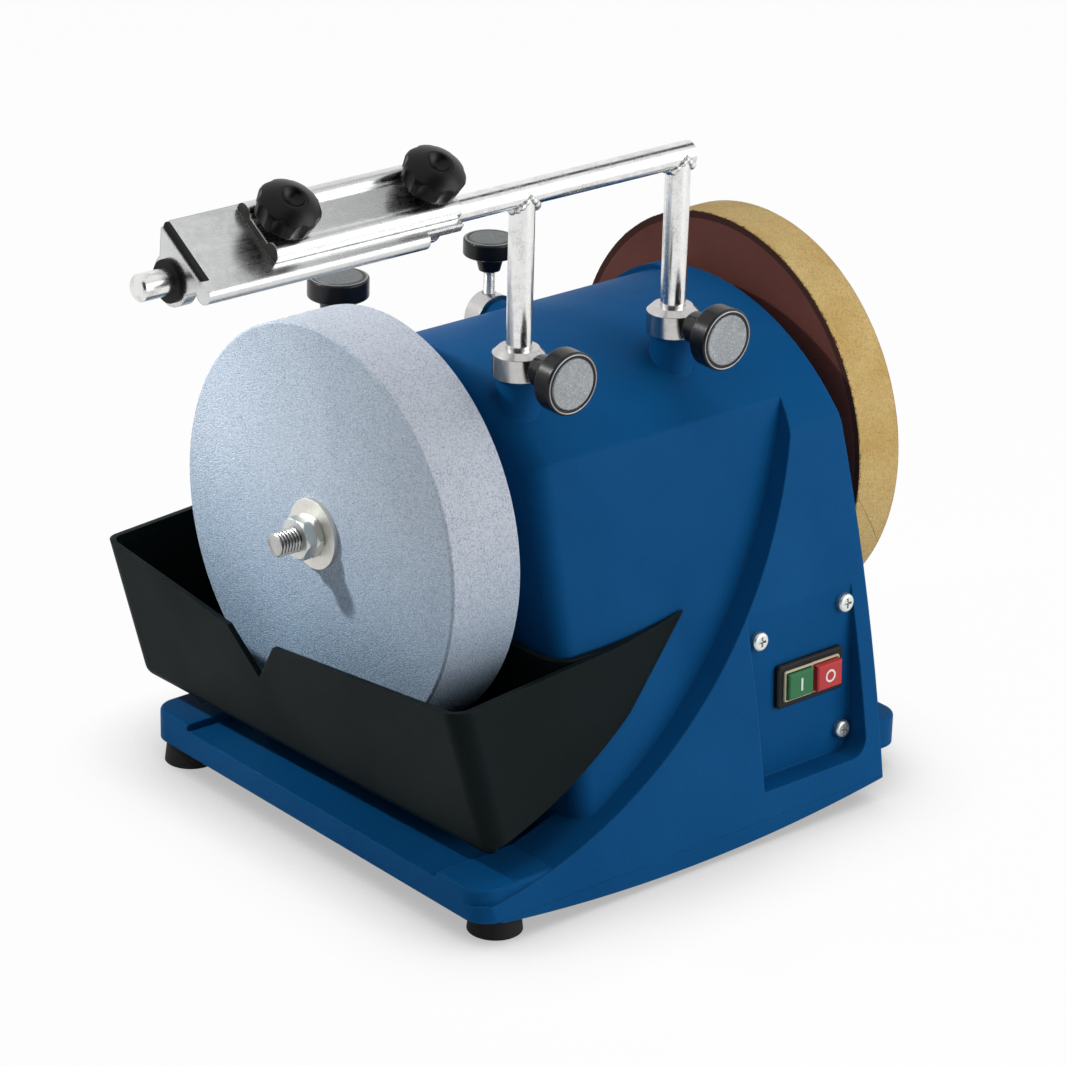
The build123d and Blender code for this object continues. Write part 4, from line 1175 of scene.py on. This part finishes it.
@dataclass
class HoningWheel:
    """Honing wheel, with the frayed edge and the scarf seam of its leather band."""

    bench: Bench
    fibres: int = 1500
    fibre_length: float = 1.7 * MM
    fibre_width: float = 0.22 * MM
    fibre_start: float = 0.05 * MM
    fibre_lean: float = 1.6
    fibre_shortest: float = 0.25
    fibre_root: float = 1.2
    fibre_lift: tuple[float, float] = (0.02, 0.28)
    seam_turn: float = math.radians(186.0)
    seam_slant: float = math.radians(19.9)
    seam_width: float = 0.5 * MM
    seam_outer: float = 0.05 * MM
    seam_inner: float = -0.2 * MM
    seam_waver: float = 0.0012
    seam_steps: int = 24

    def __post_init__(self) -> None:
        """Measure the band."""
        self.low, self.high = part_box("honing_leather")
        self.centre = self.bench.middle("honing_leather")
        self.radius = (self.high.z - self.low.z) / 2

    def dress(self) -> None:
        """Dress the disc and its band."""
        self.bench.dress(self.bench.looks.core, "honing_core")
        self.bench.dress(self.bench.looks.leather, "honing_leather")

    def build(self) -> None:
        """Grow the fray on the near edge and lay the seam across the band."""
        finish = self.bench.looks.fray
        self.bench.piece("leather_fray", self.grow_fray(), finish, "shaft", "tan_leather")
        self.bench.piece("leather_seam", self.lay_seam(), finish, "shaft", "tan_leather")

    def rim(self, x: float, rise: float, turn: float) -> Vector:
        """Find a point over the band.

        Args:
            x: Place along the wheel's axis.
            rise: Height over the band.
            turn: Angle about the axis.

        Returns:
            The point.
        """
        reach = self.radius + rise
        y = self.centre.y + reach * math.cos(turn)
        return Vector((x, y, self.centre.z + reach * math.sin(turn)))

    def grow_fray(self) -> Mesh:
        """Grow short fibres that creep from the near edge over the band.

        Returns:
            Points and faces.
        """
        chance = random.Random(11)
        points: list[Vector] = []
        faces: list[tuple[int, ...]] = []
        half = self.fibre_width / self.radius / 2
        edge = self.low.x
        start = edge - self.fibre_start
        for _ in range(self.fibres):
            turn = chance.uniform(0.0, math.tau)
            lean = chance.uniform(-self.fibre_lean, self.fibre_lean) * self.fibre_length / self.radius
            reach = self.fibre_length * chance.uniform(self.fibre_shortest, 1.0) ** 1.5
            depth = chance.uniform(0.0, self.fibre_root) * MM
            lift = chance.uniform(*self.fibre_lift) * MM
            bend = edge + 0.3 * reach
            bent = turn + 0.5 * lean
            first = len(points)
            points += [
                self.rim(start, -depth, turn - half),
                self.rim(start, -depth, turn + half),
                self.rim(bend, lift, bent + half),
                self.rim(edge + reach, 0.6 * lift, turn + lean),
                self.rim(bend, lift, bent - half),
            ]
            faces.append(tuple(range(first, len(points))))
        return points, faces

    def lay_seam(self) -> Mesh:
        """Lay the thin dark line where the band's scarfed ends are glued.

        Returns:
            Points and faces.
        """
        chance = random.Random(5)
        outer = self.seam_outer
        inner = self.seam_inner
        rows = []
        for i in range(self.seam_steps + 1):
            share = i / self.seam_steps
            x = self.low.x + (self.high.x - self.low.x) * share
            waver = chance.uniform(-self.seam_waver, self.seam_waver)
            turn = self.seam_turn + self.seam_slant * share + waver
            half = self.seam_width * chance.uniform(0.6, 1.2) / self.radius / 2
            section = ((inner, -half), (outer, -half / 2), (outer, half / 2), (inner, half))
            rows.append([self.rim(x, rise, turn + off) for rise, off in section])
        return skin(rows, caps=True)


@dataclass
class ToolSupport:
    """Bar on two legs, with the welds that join them."""

    bench: Bench
    steps: int = 72
    sides: int = 12
    throat: float = 1.5 * MM
    gusset: float = 0.55
    waves: tuple[int, ...] = (3, 7, 17)
    wave_sizes: tuple[float, float] = (0.1, 0.3)
    wave_share: float = 0.6

    def dress(self) -> None:
        """Dress the bar and the legs along their own drawing direction."""
        self.bench.dress(self.bench.looks.drawn_x, "support_bar")
        self.bench.dress(self.bench.looks.drawn_z, "support_leg_left", "support_leg_right")

    def build(self) -> None:
        """Run a weld round the top of each leg."""
        for side in ("left", "right"):
            mesh = self.run_weld(side)
            finish = self.bench.looks.weld
            self.bench.piece(f"weld_{side}", mesh, finish, "support", "bright_steel", angle=60.0)

    def run_weld(self, side: str) -> Mesh:
        """Run a lumpy bead along the line where one leg meets the bar.

        Args:
            side: Side of the leg, which also seeds the lumps.

        Returns:
            Points and faces.
        """
        low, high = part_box(f"support_leg_{side}")
        bar = self.bench.middle("support_bar")
        middle = (low + high) / 2
        radius = (high.x - low.x) / 2
        chance = random.Random(side)
        lumps = []
        for count in self.waves:
            size = chance.uniform(*self.wave_sizes)
            lumps.append((count, size, chance.uniform(0.0, math.tau)))
        path = []
        outs = []
        radii = []
        for i in range(self.steps):
            turn = math.tau * i / self.steps
            out = Vector((math.cos(turn), math.sin(turn), 0))
            drop = math.sqrt(max(0.0, radius**2 - (radius * out.y) ** 2))
            swell = sum(size * math.sin(count * turn + phase) for count, size, phase in lumps)
            gusset = 1.0 + self.gusset * abs(out.x) ** 3
            path.append(Vector((middle.x + radius * out.x, middle.y + radius * out.y, bar.z - drop)))
            outs.append(out)
            radii.append(self.throat * gusset * (1.0 + self.wave_share * swell))
        return bead(path, outs, radii, self.sides)


@dataclass
class Collar:
    """One collar with its thumbscrew, which has a bright ring and a threaded stud."""

    bench: Bench
    place: Place
    pitch: float = 1.0 * MM
    ring_margin: float = 0.9 * MM
    ring_wide: float = 0.6 * MM
    ring_sunk: float = 0.3 * MM
    ring_wall: float = 0.02 * MM
    ring_rise: float = 0.14 * MM
    ring_edge: float = 0.15 * MM
    ring_steps: int = 72
    stud_sides: int = 20

    def dress(self) -> None:
        """Dress collar, stud, knob and cap."""
        looks = self.bench.looks
        where = self.place.value
        self.bench.dress(looks.collar, f"collar_{where}")
        self.bench.dress(looks.bright, f"thumb_stud_{where}")
        self.bench.dress(looks.knob, f"thumb_knob_{where}")
        # The rear caps are the same grey, with painted shade.
        cap = looks.cap if self.place.front else looks.painted_shade_cap
        self.bench.dress(cap, f"thumb_cap_{where}")

    def build(self) -> None:
        """Set the ring into the knob's rim and thread the stud."""
        looks = self.bench.looks
        where = self.place.value
        ring = f"cap_ring_{where}"
        knob = f"thumb_knob_{where}"
        self.bench.piece(ring, self.turn_ring(knob), looks.ring, knob, "bright_steel", angle=50.0)
        name = f"thumb_stud_{where}"
        mesh = self.thread_stud(name)
        title = f"threaded_{name}"
        stud = self.bench.piece(title, mesh, looks.bright, name, "bright_steel", angle=60.0)
        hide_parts(name)

    def turn_ring(self, knob: str) -> Mesh:
        """Turn the ring that stands a little proud of the knob's outer face.

        Args:
            knob: Name of the knob.

        Returns:
            Points and faces.
        """
        axis = self.place.outward
        low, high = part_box(knob)
        outer = (high.x - low.x) / 2 - self.ring_margin
        inner = outer - self.ring_wide
        profile = [
            (-self.ring_sunk, inner),
            (-self.ring_sunk, outer),
            (self.ring_wall, outer),
            (self.ring_rise, outer - self.ring_edge),
            (self.ring_rise, inner + self.ring_edge),
            (self.ring_wall, inner),
        ]
        return lathe(profile, self.bench.end(knob, axis, True), axis, self.ring_steps)

    def thread_stud(self, stud: str) -> Mesh:
        """Make the threaded rod that takes the place of the plain stud.

        Args:
            stud: Name of the stud.

        Returns:
            Points and faces.
        """
        axis = self.place.outward
        low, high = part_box(stud)
        first, final = self.bench.extent(stud, axis)
        start = self.bench.end(stud, axis, False)
        length = final - first
        radius = (high.x - low.x) / 2
        return threaded_rod(start, axis, length, radius, self.pitch, ((0.0, length),), self.stud_sides)


@dataclass
class Jig:
    """Clamping jig: domed star knobs, a dark strip standing for shadow on its left end, and painted
    shade on the clamp plate's end face.
    """

    bench: Bench
    normal: Vector = field(default_factory=lambda: Vector((0, -0.5402, 0.8415)))
    strip_wide: float = 3.4 * MM
    strip_thick: float = 1.9 * MM
    strip_back: float = 1.2 * MM
    strip_sunk: float = 2.0 * MM
    strip_spare: float = 4.0 * MM
    strip_corner: float = 1.6 * MM
    knob_radius: float = 14.4 * MM
    knob_neck: float = 6.5 * MM
    knob_under: float = 5.6 * MM
    dome: float = 22.0 * MM
    shoulder: float = 2.8 * MM
    taper: float = 0.9 * MM
    foot_edge: float = 0.8 * MM
    dish_radius: float = 5.6 * MM
    dish_depth: float = 3.2 * MM
    dish_edge: float = 0.5 * MM
    dish_lip: float = 0.1 * MM
    dish_end: float = 0.96
    scallops: int = 9
    scallop_columns: int = 24
    scallop_radius: float = 5.4 * MM
    scallop_depth: float = 2.3 * MM
    scallop_end: float = 26.0 * MM
    arc_steps: int = 8
    end_facing: float = -0.9

    def __post_init__(self) -> None:
        """Set out the direction that runs up the tilted plate."""
        self.rearward = Vector((0, self.normal.z, -self.normal.y))

    def dress(self) -> None:
        """Dress plates, bushes, knobs and studs, and paint shade onto the clamp plate's left end face.
        """
        looks = self.bench.looks
        self.bench.dress(looks.jig, "jig_base", "jig_clamp_plate")
        plate = self.bench.nodes["jig_clamp_plate"]
        # Painted shade: the clamp plate's left end face takes the dark steel.
        self.bench.stain(plate, looks.root, lambda face: face.normal.x < self.end_facing)
        self.bench.dress(looks.bush, "jig_bushes")
        self.bench.dress(looks.star, "jig_knob_left", "jig_knob_right")
        self.bench.dress(looks.bright, "jig_stud_left", "jig_stud_right")

    def build(self) -> None:
        """Turn both knobs and lay the dark strip that stands for shadow."""
        looks = self.bench.looks
        for name in ("jig_knob_left", "jig_knob_right"):
            mesh = self.turn_knob(name, name.replace("knob", "stud"))
            knob = self.bench.piece(f"star_{name}", mesh, looks.star, name, "knob_black")
            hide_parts(name)
        # Dark strip in black plastic that stands for the shadow at the plate's left end.
        self.bench.piece("jig_end_shadow_strip", self.lay_strip(), looks.bush, "jig", "jig_bush_plastic")

    def knob_profile(self, tall: float) -> list[tuple[float, float]]:
        """Side of a star knob, from the foot of its neck to the middle of its dish.

        Args:
            tall: Height of the knob.

        Returns:
            Points as (along the axis, radius).
        """
        bend = self.knob_radius - self.shoulder
        lean = math.asin(bend / (self.dome - self.shoulder))
        edge = math.asin((self.dish_radius + self.dish_edge) / self.dome)
        middle = tall - self.dome * math.cos(edge)
        level = middle + (self.dome - self.shoulder) * math.cos(lean)
        foot = self.knob_radius - self.taper
        wall = self.knob_under + self.foot_edge
        profile = [(0.0, self.knob_neck), (self.knob_under, self.knob_neck)]
        profile += [(self.knob_under, foot - self.foot_edge), (wall, foot)]
        shares = [i / self.arc_steps for i in range(self.arc_steps + 1)]
        for share in shares[1:-1]:
            profile.append((wall + share * (level - wall), foot + self.taper * share))
        for share in shares:
            turn = (math.pi / 2 - lean) * share
            reach = bend + self.shoulder * math.cos(turn)
            profile.append((level + self.shoulder * math.sin(turn), reach))
        for share in shares[1:]:
            turn = lean + (edge - lean) * share
            profile.append((middle + self.dome * math.cos(turn), self.dome * math.sin(turn)))
        floor = profile[-1][0] - self.dish_lip - self.dish_depth
        ball = (self.dish_radius**2 + self.dish_depth**2) / (2 * self.dish_depth)
        mouth = math.asin(self.dish_radius / ball)
        for share in shares:
            turn = mouth * (1 - self.dish_end * share)
            profile.append((floor + ball * (1 - math.cos(turn)), ball * math.sin(turn)))
        return profile

    def turn_knob(self, name: str, stud: str) -> Mesh:
        """Turn a domed knob on its stud, whose finger scallops fade out towards its top.

        Args:
            name: Name of the knob.
            stud: Name of its stud.

        Returns:
            Points and faces.
        """
        foot, top = self.bench.extent(name, self.normal)
        base = Vector((self.bench.middle(stud).x, 0, 0)) + self.normal * foot
        base += self.rearward * (sum(self.bench.extent(stud, self.rearward)) / 2)
        columns = self.scallop_columns * self.scallops
        pitch = math.tau / self.scallops
        shallow = self.scallop_depth / (self.scallop_end - self.knob_under)
        rows = []
        for along, radius in self.knob_profile(top - foot):
            cut = max(0.0, self.scallop_depth - shallow * max(0.0, along - self.knob_under))
            hollow = self.knob_radius - cut + self.scallop_radius
            row = []
            for j in range(columns):
                turn = math.tau * j / columns
                swing = turn % pitch - pitch / 2
                off = hollow * math.sin(swing)
                reach = radius
                if abs(off) < self.scallop_radius:
                    chord = math.sqrt(self.scallop_radius**2 - off**2)
                    reach = min(radius, hollow * math.cos(swing) - chord)
                out = Vector((math.cos(turn), 0, 0)) + self.rearward * math.sin(turn)
                row.append(base + self.normal * along + out * reach)
            rows.append(row)
        return skin(rows, caps=True)

    def lay_strip(self) -> Mesh:
        """Lay the dark strip, a painted shadow, along the left end of the plate.

        Returns:
            Points and faces.
        """
        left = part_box("jig_base")[0].x
        top = self.bench.extent("jig_base", self.normal)[1]
        first, final = self.bench.extent("jig_clamp_plate", self.rearward)
        middle = Vector((left + self.strip_back + self.strip_wide / 2, 0, 0))
        middle += self.rearward * ((first + final) / 2) + self.normal * (top - self.strip_sunk)
        frame = (X_AXIS, self.rearward, self.normal)
        size = (self.strip_wide, final - first + self.strip_spare, self.strip_thick)
        return rounded_bar(middle, frame, size, self.strip_corner)


@dataclass
class Switch:
    """Switch with its two buttons, their ivory surrounds and their marks."""

    bench: Bench
    lean: float = math.radians(2.7)
    frame_gap: float = 0.5 * MM
    frame_wall: float = 0.9 * MM
    frame_rise: float = 1.0 * MM
    frame_sunk: float = 0.4 * MM
    frame_side: float = 0.6
    frame_edge: float = 0.3 * MM
    mark_sunk: float = 0.05 * MM
    stroke_wide: float = 1.2 * MM
    stroke_thick: float = 0.2 * MM
    stroke_corner: float = 0.25 * MM
    ring_share: float = 0.42
    ring_steps: int = 48
    ring_foot: float = 0.55 * MM
    ring_side: float = 0.5 * MM
    ring_crest: float = 0.35 * MM
    ring_wall: float = 0.1 * MM
    ring_rise: float = 0.15 * MM

    def __post_init__(self) -> None:
        """Set out the panel's own directions."""
        self.high = Vector((0, math.sin(self.lean), math.cos(self.lean)))
        self.out = Vector((0, -math.cos(self.lean), math.sin(self.lean)))

    def face(self, name: str) -> tuple[Vector, float, float]:
        """Measure a button's front face.

        Args:
            name: Name of the button.

        Returns:
            Middle of the face, half its width and half its height.
        """
        left, right = self.bench.extent(name, X_AXIS)
        bottom, top = self.bench.extent(name, self.high)
        front = self.bench.extent(name, self.out)[1]
        middle = X_AXIS * ((left + right) / 2) + self.high * ((bottom + top) / 2) + self.out * front
        return middle, (right - left) / 2, (top - bottom) / 2

    def dress(self) -> None:
        """Dress the bezel, buttons and panel screws."""
        looks = self.bench.looks
        self.bench.dress(looks.bezel, "switch_bezel")
        self.bench.dress(looks.green, "start_button")
        self.bench.dress(looks.red, "stop_button")
        self.bench.dress(looks.nut, "panel_screws")

    def build(self) -> None:
        """Build the marks and the surrounds."""
        looks = self.bench.looks
        self.bench.piece("start_mark", self.stroke(), looks.mark, "start_button", "button_green")
        self.bench.piece("stop_mark", self.ring(), looks.mark, "stop_button", "button_red")
        for name in ("start_button", "stop_button"):
            mesh = self.surround(name)
            self.bench.piece(f"surround_{name}", mesh, looks.ivory, "housing", "switch_black")

    def stroke(self) -> Mesh:
        """Make the upright stroke on the start button.

        Returns:
            Points and faces.
        """
        middle, _, tall = self.face("start_button")
        frame = (X_AXIS, self.high, self.out)
        size = (self.stroke_wide, tall, self.stroke_thick)
        return rounded_bar(middle - self.out * self.mark_sunk, frame, size, self.stroke_corner)

    def ring(self) -> Mesh:
        """Turn the ring on the stop button.

        Returns:
            Points and faces.
        """
        middle, _, tall = self.face("stop_button")
        radius = self.ring_share * tall
        profile = [
            (-self.mark_sunk, radius - self.ring_foot),
            (-self.mark_sunk, radius + self.ring_foot),
            (self.ring_wall, radius + self.ring_side),
            (self.ring_rise, radius + self.ring_crest),
            (self.ring_rise, radius - self.ring_crest),
            (self.ring_wall, radius - self.ring_side),
        ]
        return lathe(profile, middle, self.out, self.ring_steps)

    def surround(self, name: str) -> Mesh:
        """Make the frame round one button.

        Args:
            name: Name of the button.

        Returns:
            Points and faces.
        """
        middle, half_wide, half_tall = self.face(name)
        level = self.bench.extent("switch_bezel", self.out)[1]
        middle += self.out * (level - middle.dot(self.out))
        gap = self.frame_gap
        wall = gap + self.frame_wall
        section = (
            (gap, -self.frame_sunk),
            (wall, -self.frame_sunk),
            (wall, self.frame_side * self.frame_rise),
            (wall - self.frame_edge, self.frame_rise),
            (gap, self.frame_rise),
        )
        rings = []
        for reach, rise in section:
            spots = outline(half_wide, half_tall, reach, 30)
            rings.append([middle + X_AXIS * u + self.high * v + self.out * rise for u, v in spots])
        return skin(list(zip(*rings, strict=True)), closed=True)


@dataclass(frozen=True)
class Lamp:
    """Square soft box that hangs off a point of the machine; spread is in degrees."""

    name: str
    towards: tuple[float, float, float]
    distance: float
    size: float
    power: float
    spread: float = 180.0
    mirrored: bool = True

    def hang(self, near: Vector, aim: Vector) -> None:
        """Hang the lamp.

        Args:
            near: Point from which its distance is counted.
            aim: Point that it faces.
        """
        data = bpy.data.lights.new(self.name, "AREA")
        data.energy = self.power
        data.size = self.size
        data.spread = math.radians(self.spread)
        place = near + Vector(self.towards).normalized() * self.distance
        lamp = bpy.data.objects.new(self.name, data)
        lamp.location = place
        lamp.rotation_euler = (place - aim).to_track_quat("Z", "Y").to_euler()
        lamp.visible_glossy = self.mirrored
        bpy.context.scene.collection.objects.link(lamp)


@dataclass(frozen=True)
class Card:
    """Rectangle that only reflections see."""

    name: str
    towards: tuple[float, float, float]
    distance: float
    wide: float
    tall: float


@dataclass
class Studio:
    """Floor, backdrop, lamps, cards and camera."""

    azimuth: float = math.radians(-40.931)
    elevation: float = math.radians(23.116)
    roll: float = math.radians(1.467)
    lens: float = 140.595
    sensor: float = 36.0
    stand: Vector = field(default_factory=lambda: Vector((-1.08417, -1.40349, 0.7586)))
    level: float = 0.15
    ambient: float = 0.3
    ambient_tint: Colour = (0.96, 0.98, 1.0)
    floor_reach: float = 6.0
    floor_grey: Colour = (0.86, 0.86, 0.86)
    floor_glow: float = 0.965
    contact: float = 0.06
    card_dark: Colour = (0.03, 0.032, 0.036)
    key_aim: tuple[float, float] = (0.08, 0.19)
    key: Lamp = Lamp("key", (-0.54, 0.54, 0.65), 0.75, 0.05, 0.25, spread=37.0)
    fill: Lamp = Lamp("fill", (0.5, -0.83, 0.25), 1.5, 1.2, 12.6)
    top: Lamp = Lamp("top", (0.3, -0.05, 0.95), 1.5, 0.9, 6.4, mirrored=False)
    cards: tuple[Card, ...] = (
        Card("card_camera", (-0.68, -0.62, 0.36), 1.5, 1.9, 1.2),
        Card("card_over", (0.62, -0.02, 0.78), 1.3, 0.42, 0.5),
        Card("card_front", (0.0, -0.7, 0.7), 1.3, 0.8, 0.6),
    )

    def __post_init__(self) -> None:
        """Keep the point that the lamps and cards face."""
        self.middle = Vector((0, 0, self.level))

    def build(self) -> None:
        """Set the whole studio up."""
        bpy.context.scene.view_settings.view_transform = "Standard"
        self.set_world()
        self.lay_floor()
        self.hang_lamps()
        self.hang_cards()
        self.set_camera()

    def set_world(self) -> None:
        """White to the camera and to reflections, soft grey light for the rest."""
        world = bpy.data.worlds.new("studio")
        bpy.context.scene.world = world
        world.use_nodes = True
        graph = Graph(world.node_tree)
        values = {"Color": self.ambient_tint, "Strength": self.ambient}
        soft = graph.add("ShaderNodeBackground", values)
        white = graph.add("ShaderNodeBackground", {"Color": WHITE, "Strength": 1.0})
        blend = graph.blend(graph.seen("Is Transmission Ray"), soft, white)
        graph.add("ShaderNodeOutputWorld", {"Surface": blend})

    def lay_floor(self) -> None:
        """Pale floor, white to the camera, that keeps the shadow and has a painted contact shadow near
        the feet.
        """
        reach = self.floor_reach
        floor = self.sheet("floor", Vector((0, 0, 0)), Vector((reach, 0, 0)), Vector((0, reach, 0)))
        material, graph = new_material("floor_white")
        share = graph.times(graph.seen(), self.floor_glow)
        matt = graph.add("ShaderNodeBsdfDiffuse", {"Color": self.floor_grey})
        # Painted contact shadow: the glow dims where ambient occlusion finds the machine close by.
        shade = graph.add("ShaderNodeAmbientOcclusion", {"Distance": self.contact}, samples=8)
        strength = graph.ramp(shade.outputs["AO"], 0.3, 0.95, 0.45, 1.0)
        glow = graph.add("ShaderNodeEmission", {"Color": WHITE, "Strength": strength})
        graph.add("ShaderNodeOutputMaterial", {"Surface": graph.blend(share, matt, glow)})
        floor.data.materials.append(material)

    @staticmethod
    def sheet(name: str, middle: Vector, side: Vector, up: Vector) -> bpy.types.Object:
        """Lay a flat rectangle of the stage.

        Args:
            name: Name of the rectangle.
            middle: Its middle.
            side: Reach to its right edge.
            up: Reach to its upper edge.

        Returns:
            The new object.
        """
        points = [middle - side - up, middle + side - up, middle + side + up, middle - side + up]
        data = bpy.data.meshes.new(name)
        data.from_pydata([tuple(point) for point in points], [], [(0, 1, 2, 3)])
        made = bpy.data.objects.new(name, data)
        bpy.context.scene.collection.objects.link(made)
        return made

    def hang_lamps(self) -> None:
        """Narrow key near the stone, broad fill from the front right, soft top."""
        hub = Vector((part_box("main_shaft")[0].x, 0, self.level))
        self.key.hang(hub, Vector((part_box("grinding_stone")[0].x, *self.key_aim)))
        self.fill.hang(self.middle, self.middle)
        self.top.hang(self.middle, self.middle)

    def hang_cards(self) -> None:
        """Dark cards that only reflections see, for contrast in the metal."""
        material, graph = new_material("card_black")
        dark = graph.add("ShaderNodeEmission", {"Color": self.card_dark, "Strength": 1.0})
        graph.add("ShaderNodeOutputMaterial", {"Surface": dark.outputs[0]})
        for card in self.cards:
            out = Vector(card.towards).normalized()
            side, up = across(out)
            middle = out * card.distance + self.middle
            made = self.sheet(card.name, middle, side * (card.wide / 2), up * (card.tall / 2))
            made.data.materials.append(material)
            made.visible_camera = False
            made.visible_diffuse = False
            made.visible_shadow = False
            made.visible_transmission = False

    def set_camera(self) -> None:
        """Stand the camera where the photograph was taken from."""
        low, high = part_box("grinding_stone")
        hub = Vector((low.x, (low.y + high.y) / 2, (low.z + high.z) / 2))
        level = Vector((math.sin(self.azimuth), -math.cos(self.azimuth), 0))
        back = level * math.cos(self.elevation) + Vector((0, 0, math.sin(self.elevation)))
        right = Vector((math.cos(self.azimuth), math.sin(self.azimuth), 0))
        up = back.cross(right)
        turned = right * math.cos(self.roll) + up * math.sin(self.roll)
        raised = up * math.cos(self.roll) - right * math.sin(self.roll)
        data = bpy.data.cameras.new("camera")
        data.sensor_width = self.sensor
        data.lens = self.lens
        camera = bpy.data.objects.new("camera", data)
        bpy.context.scene.collection.objects.link(camera)
        place = Matrix((turned, raised, back)).transposed().to_4x4()
        place.translation = hub + self.stand
        camera.matrix_world = place
        bpy.context.scene.camera = camera


def main() -> None:
    """Load the frame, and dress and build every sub-assembly in order."""
    logging.basicConfig(level=logging.INFO, format="%(name)s: %(message)s")
    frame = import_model()
    bench = Bench(frame["nodes"])
    for works in (Drive(bench), GrindingStone(bench), WaterTray(bench)):
        works.dress()
    collars = [Collar(bench, place) for place in Place]
    wheels = [Spindle(bench), HoningWheel(bench)]
    for part in [Housing(bench), *wheels, ToolSupport(bench), Jig(bench), Switch(bench), *collars]:
        part.dress()
        part.build()
    Studio().build()
    log.info("%d nodes dressed, %d pieces built", len(bench.nodes), len(bench.pieces))


if __name__ == "__main__":
    main()
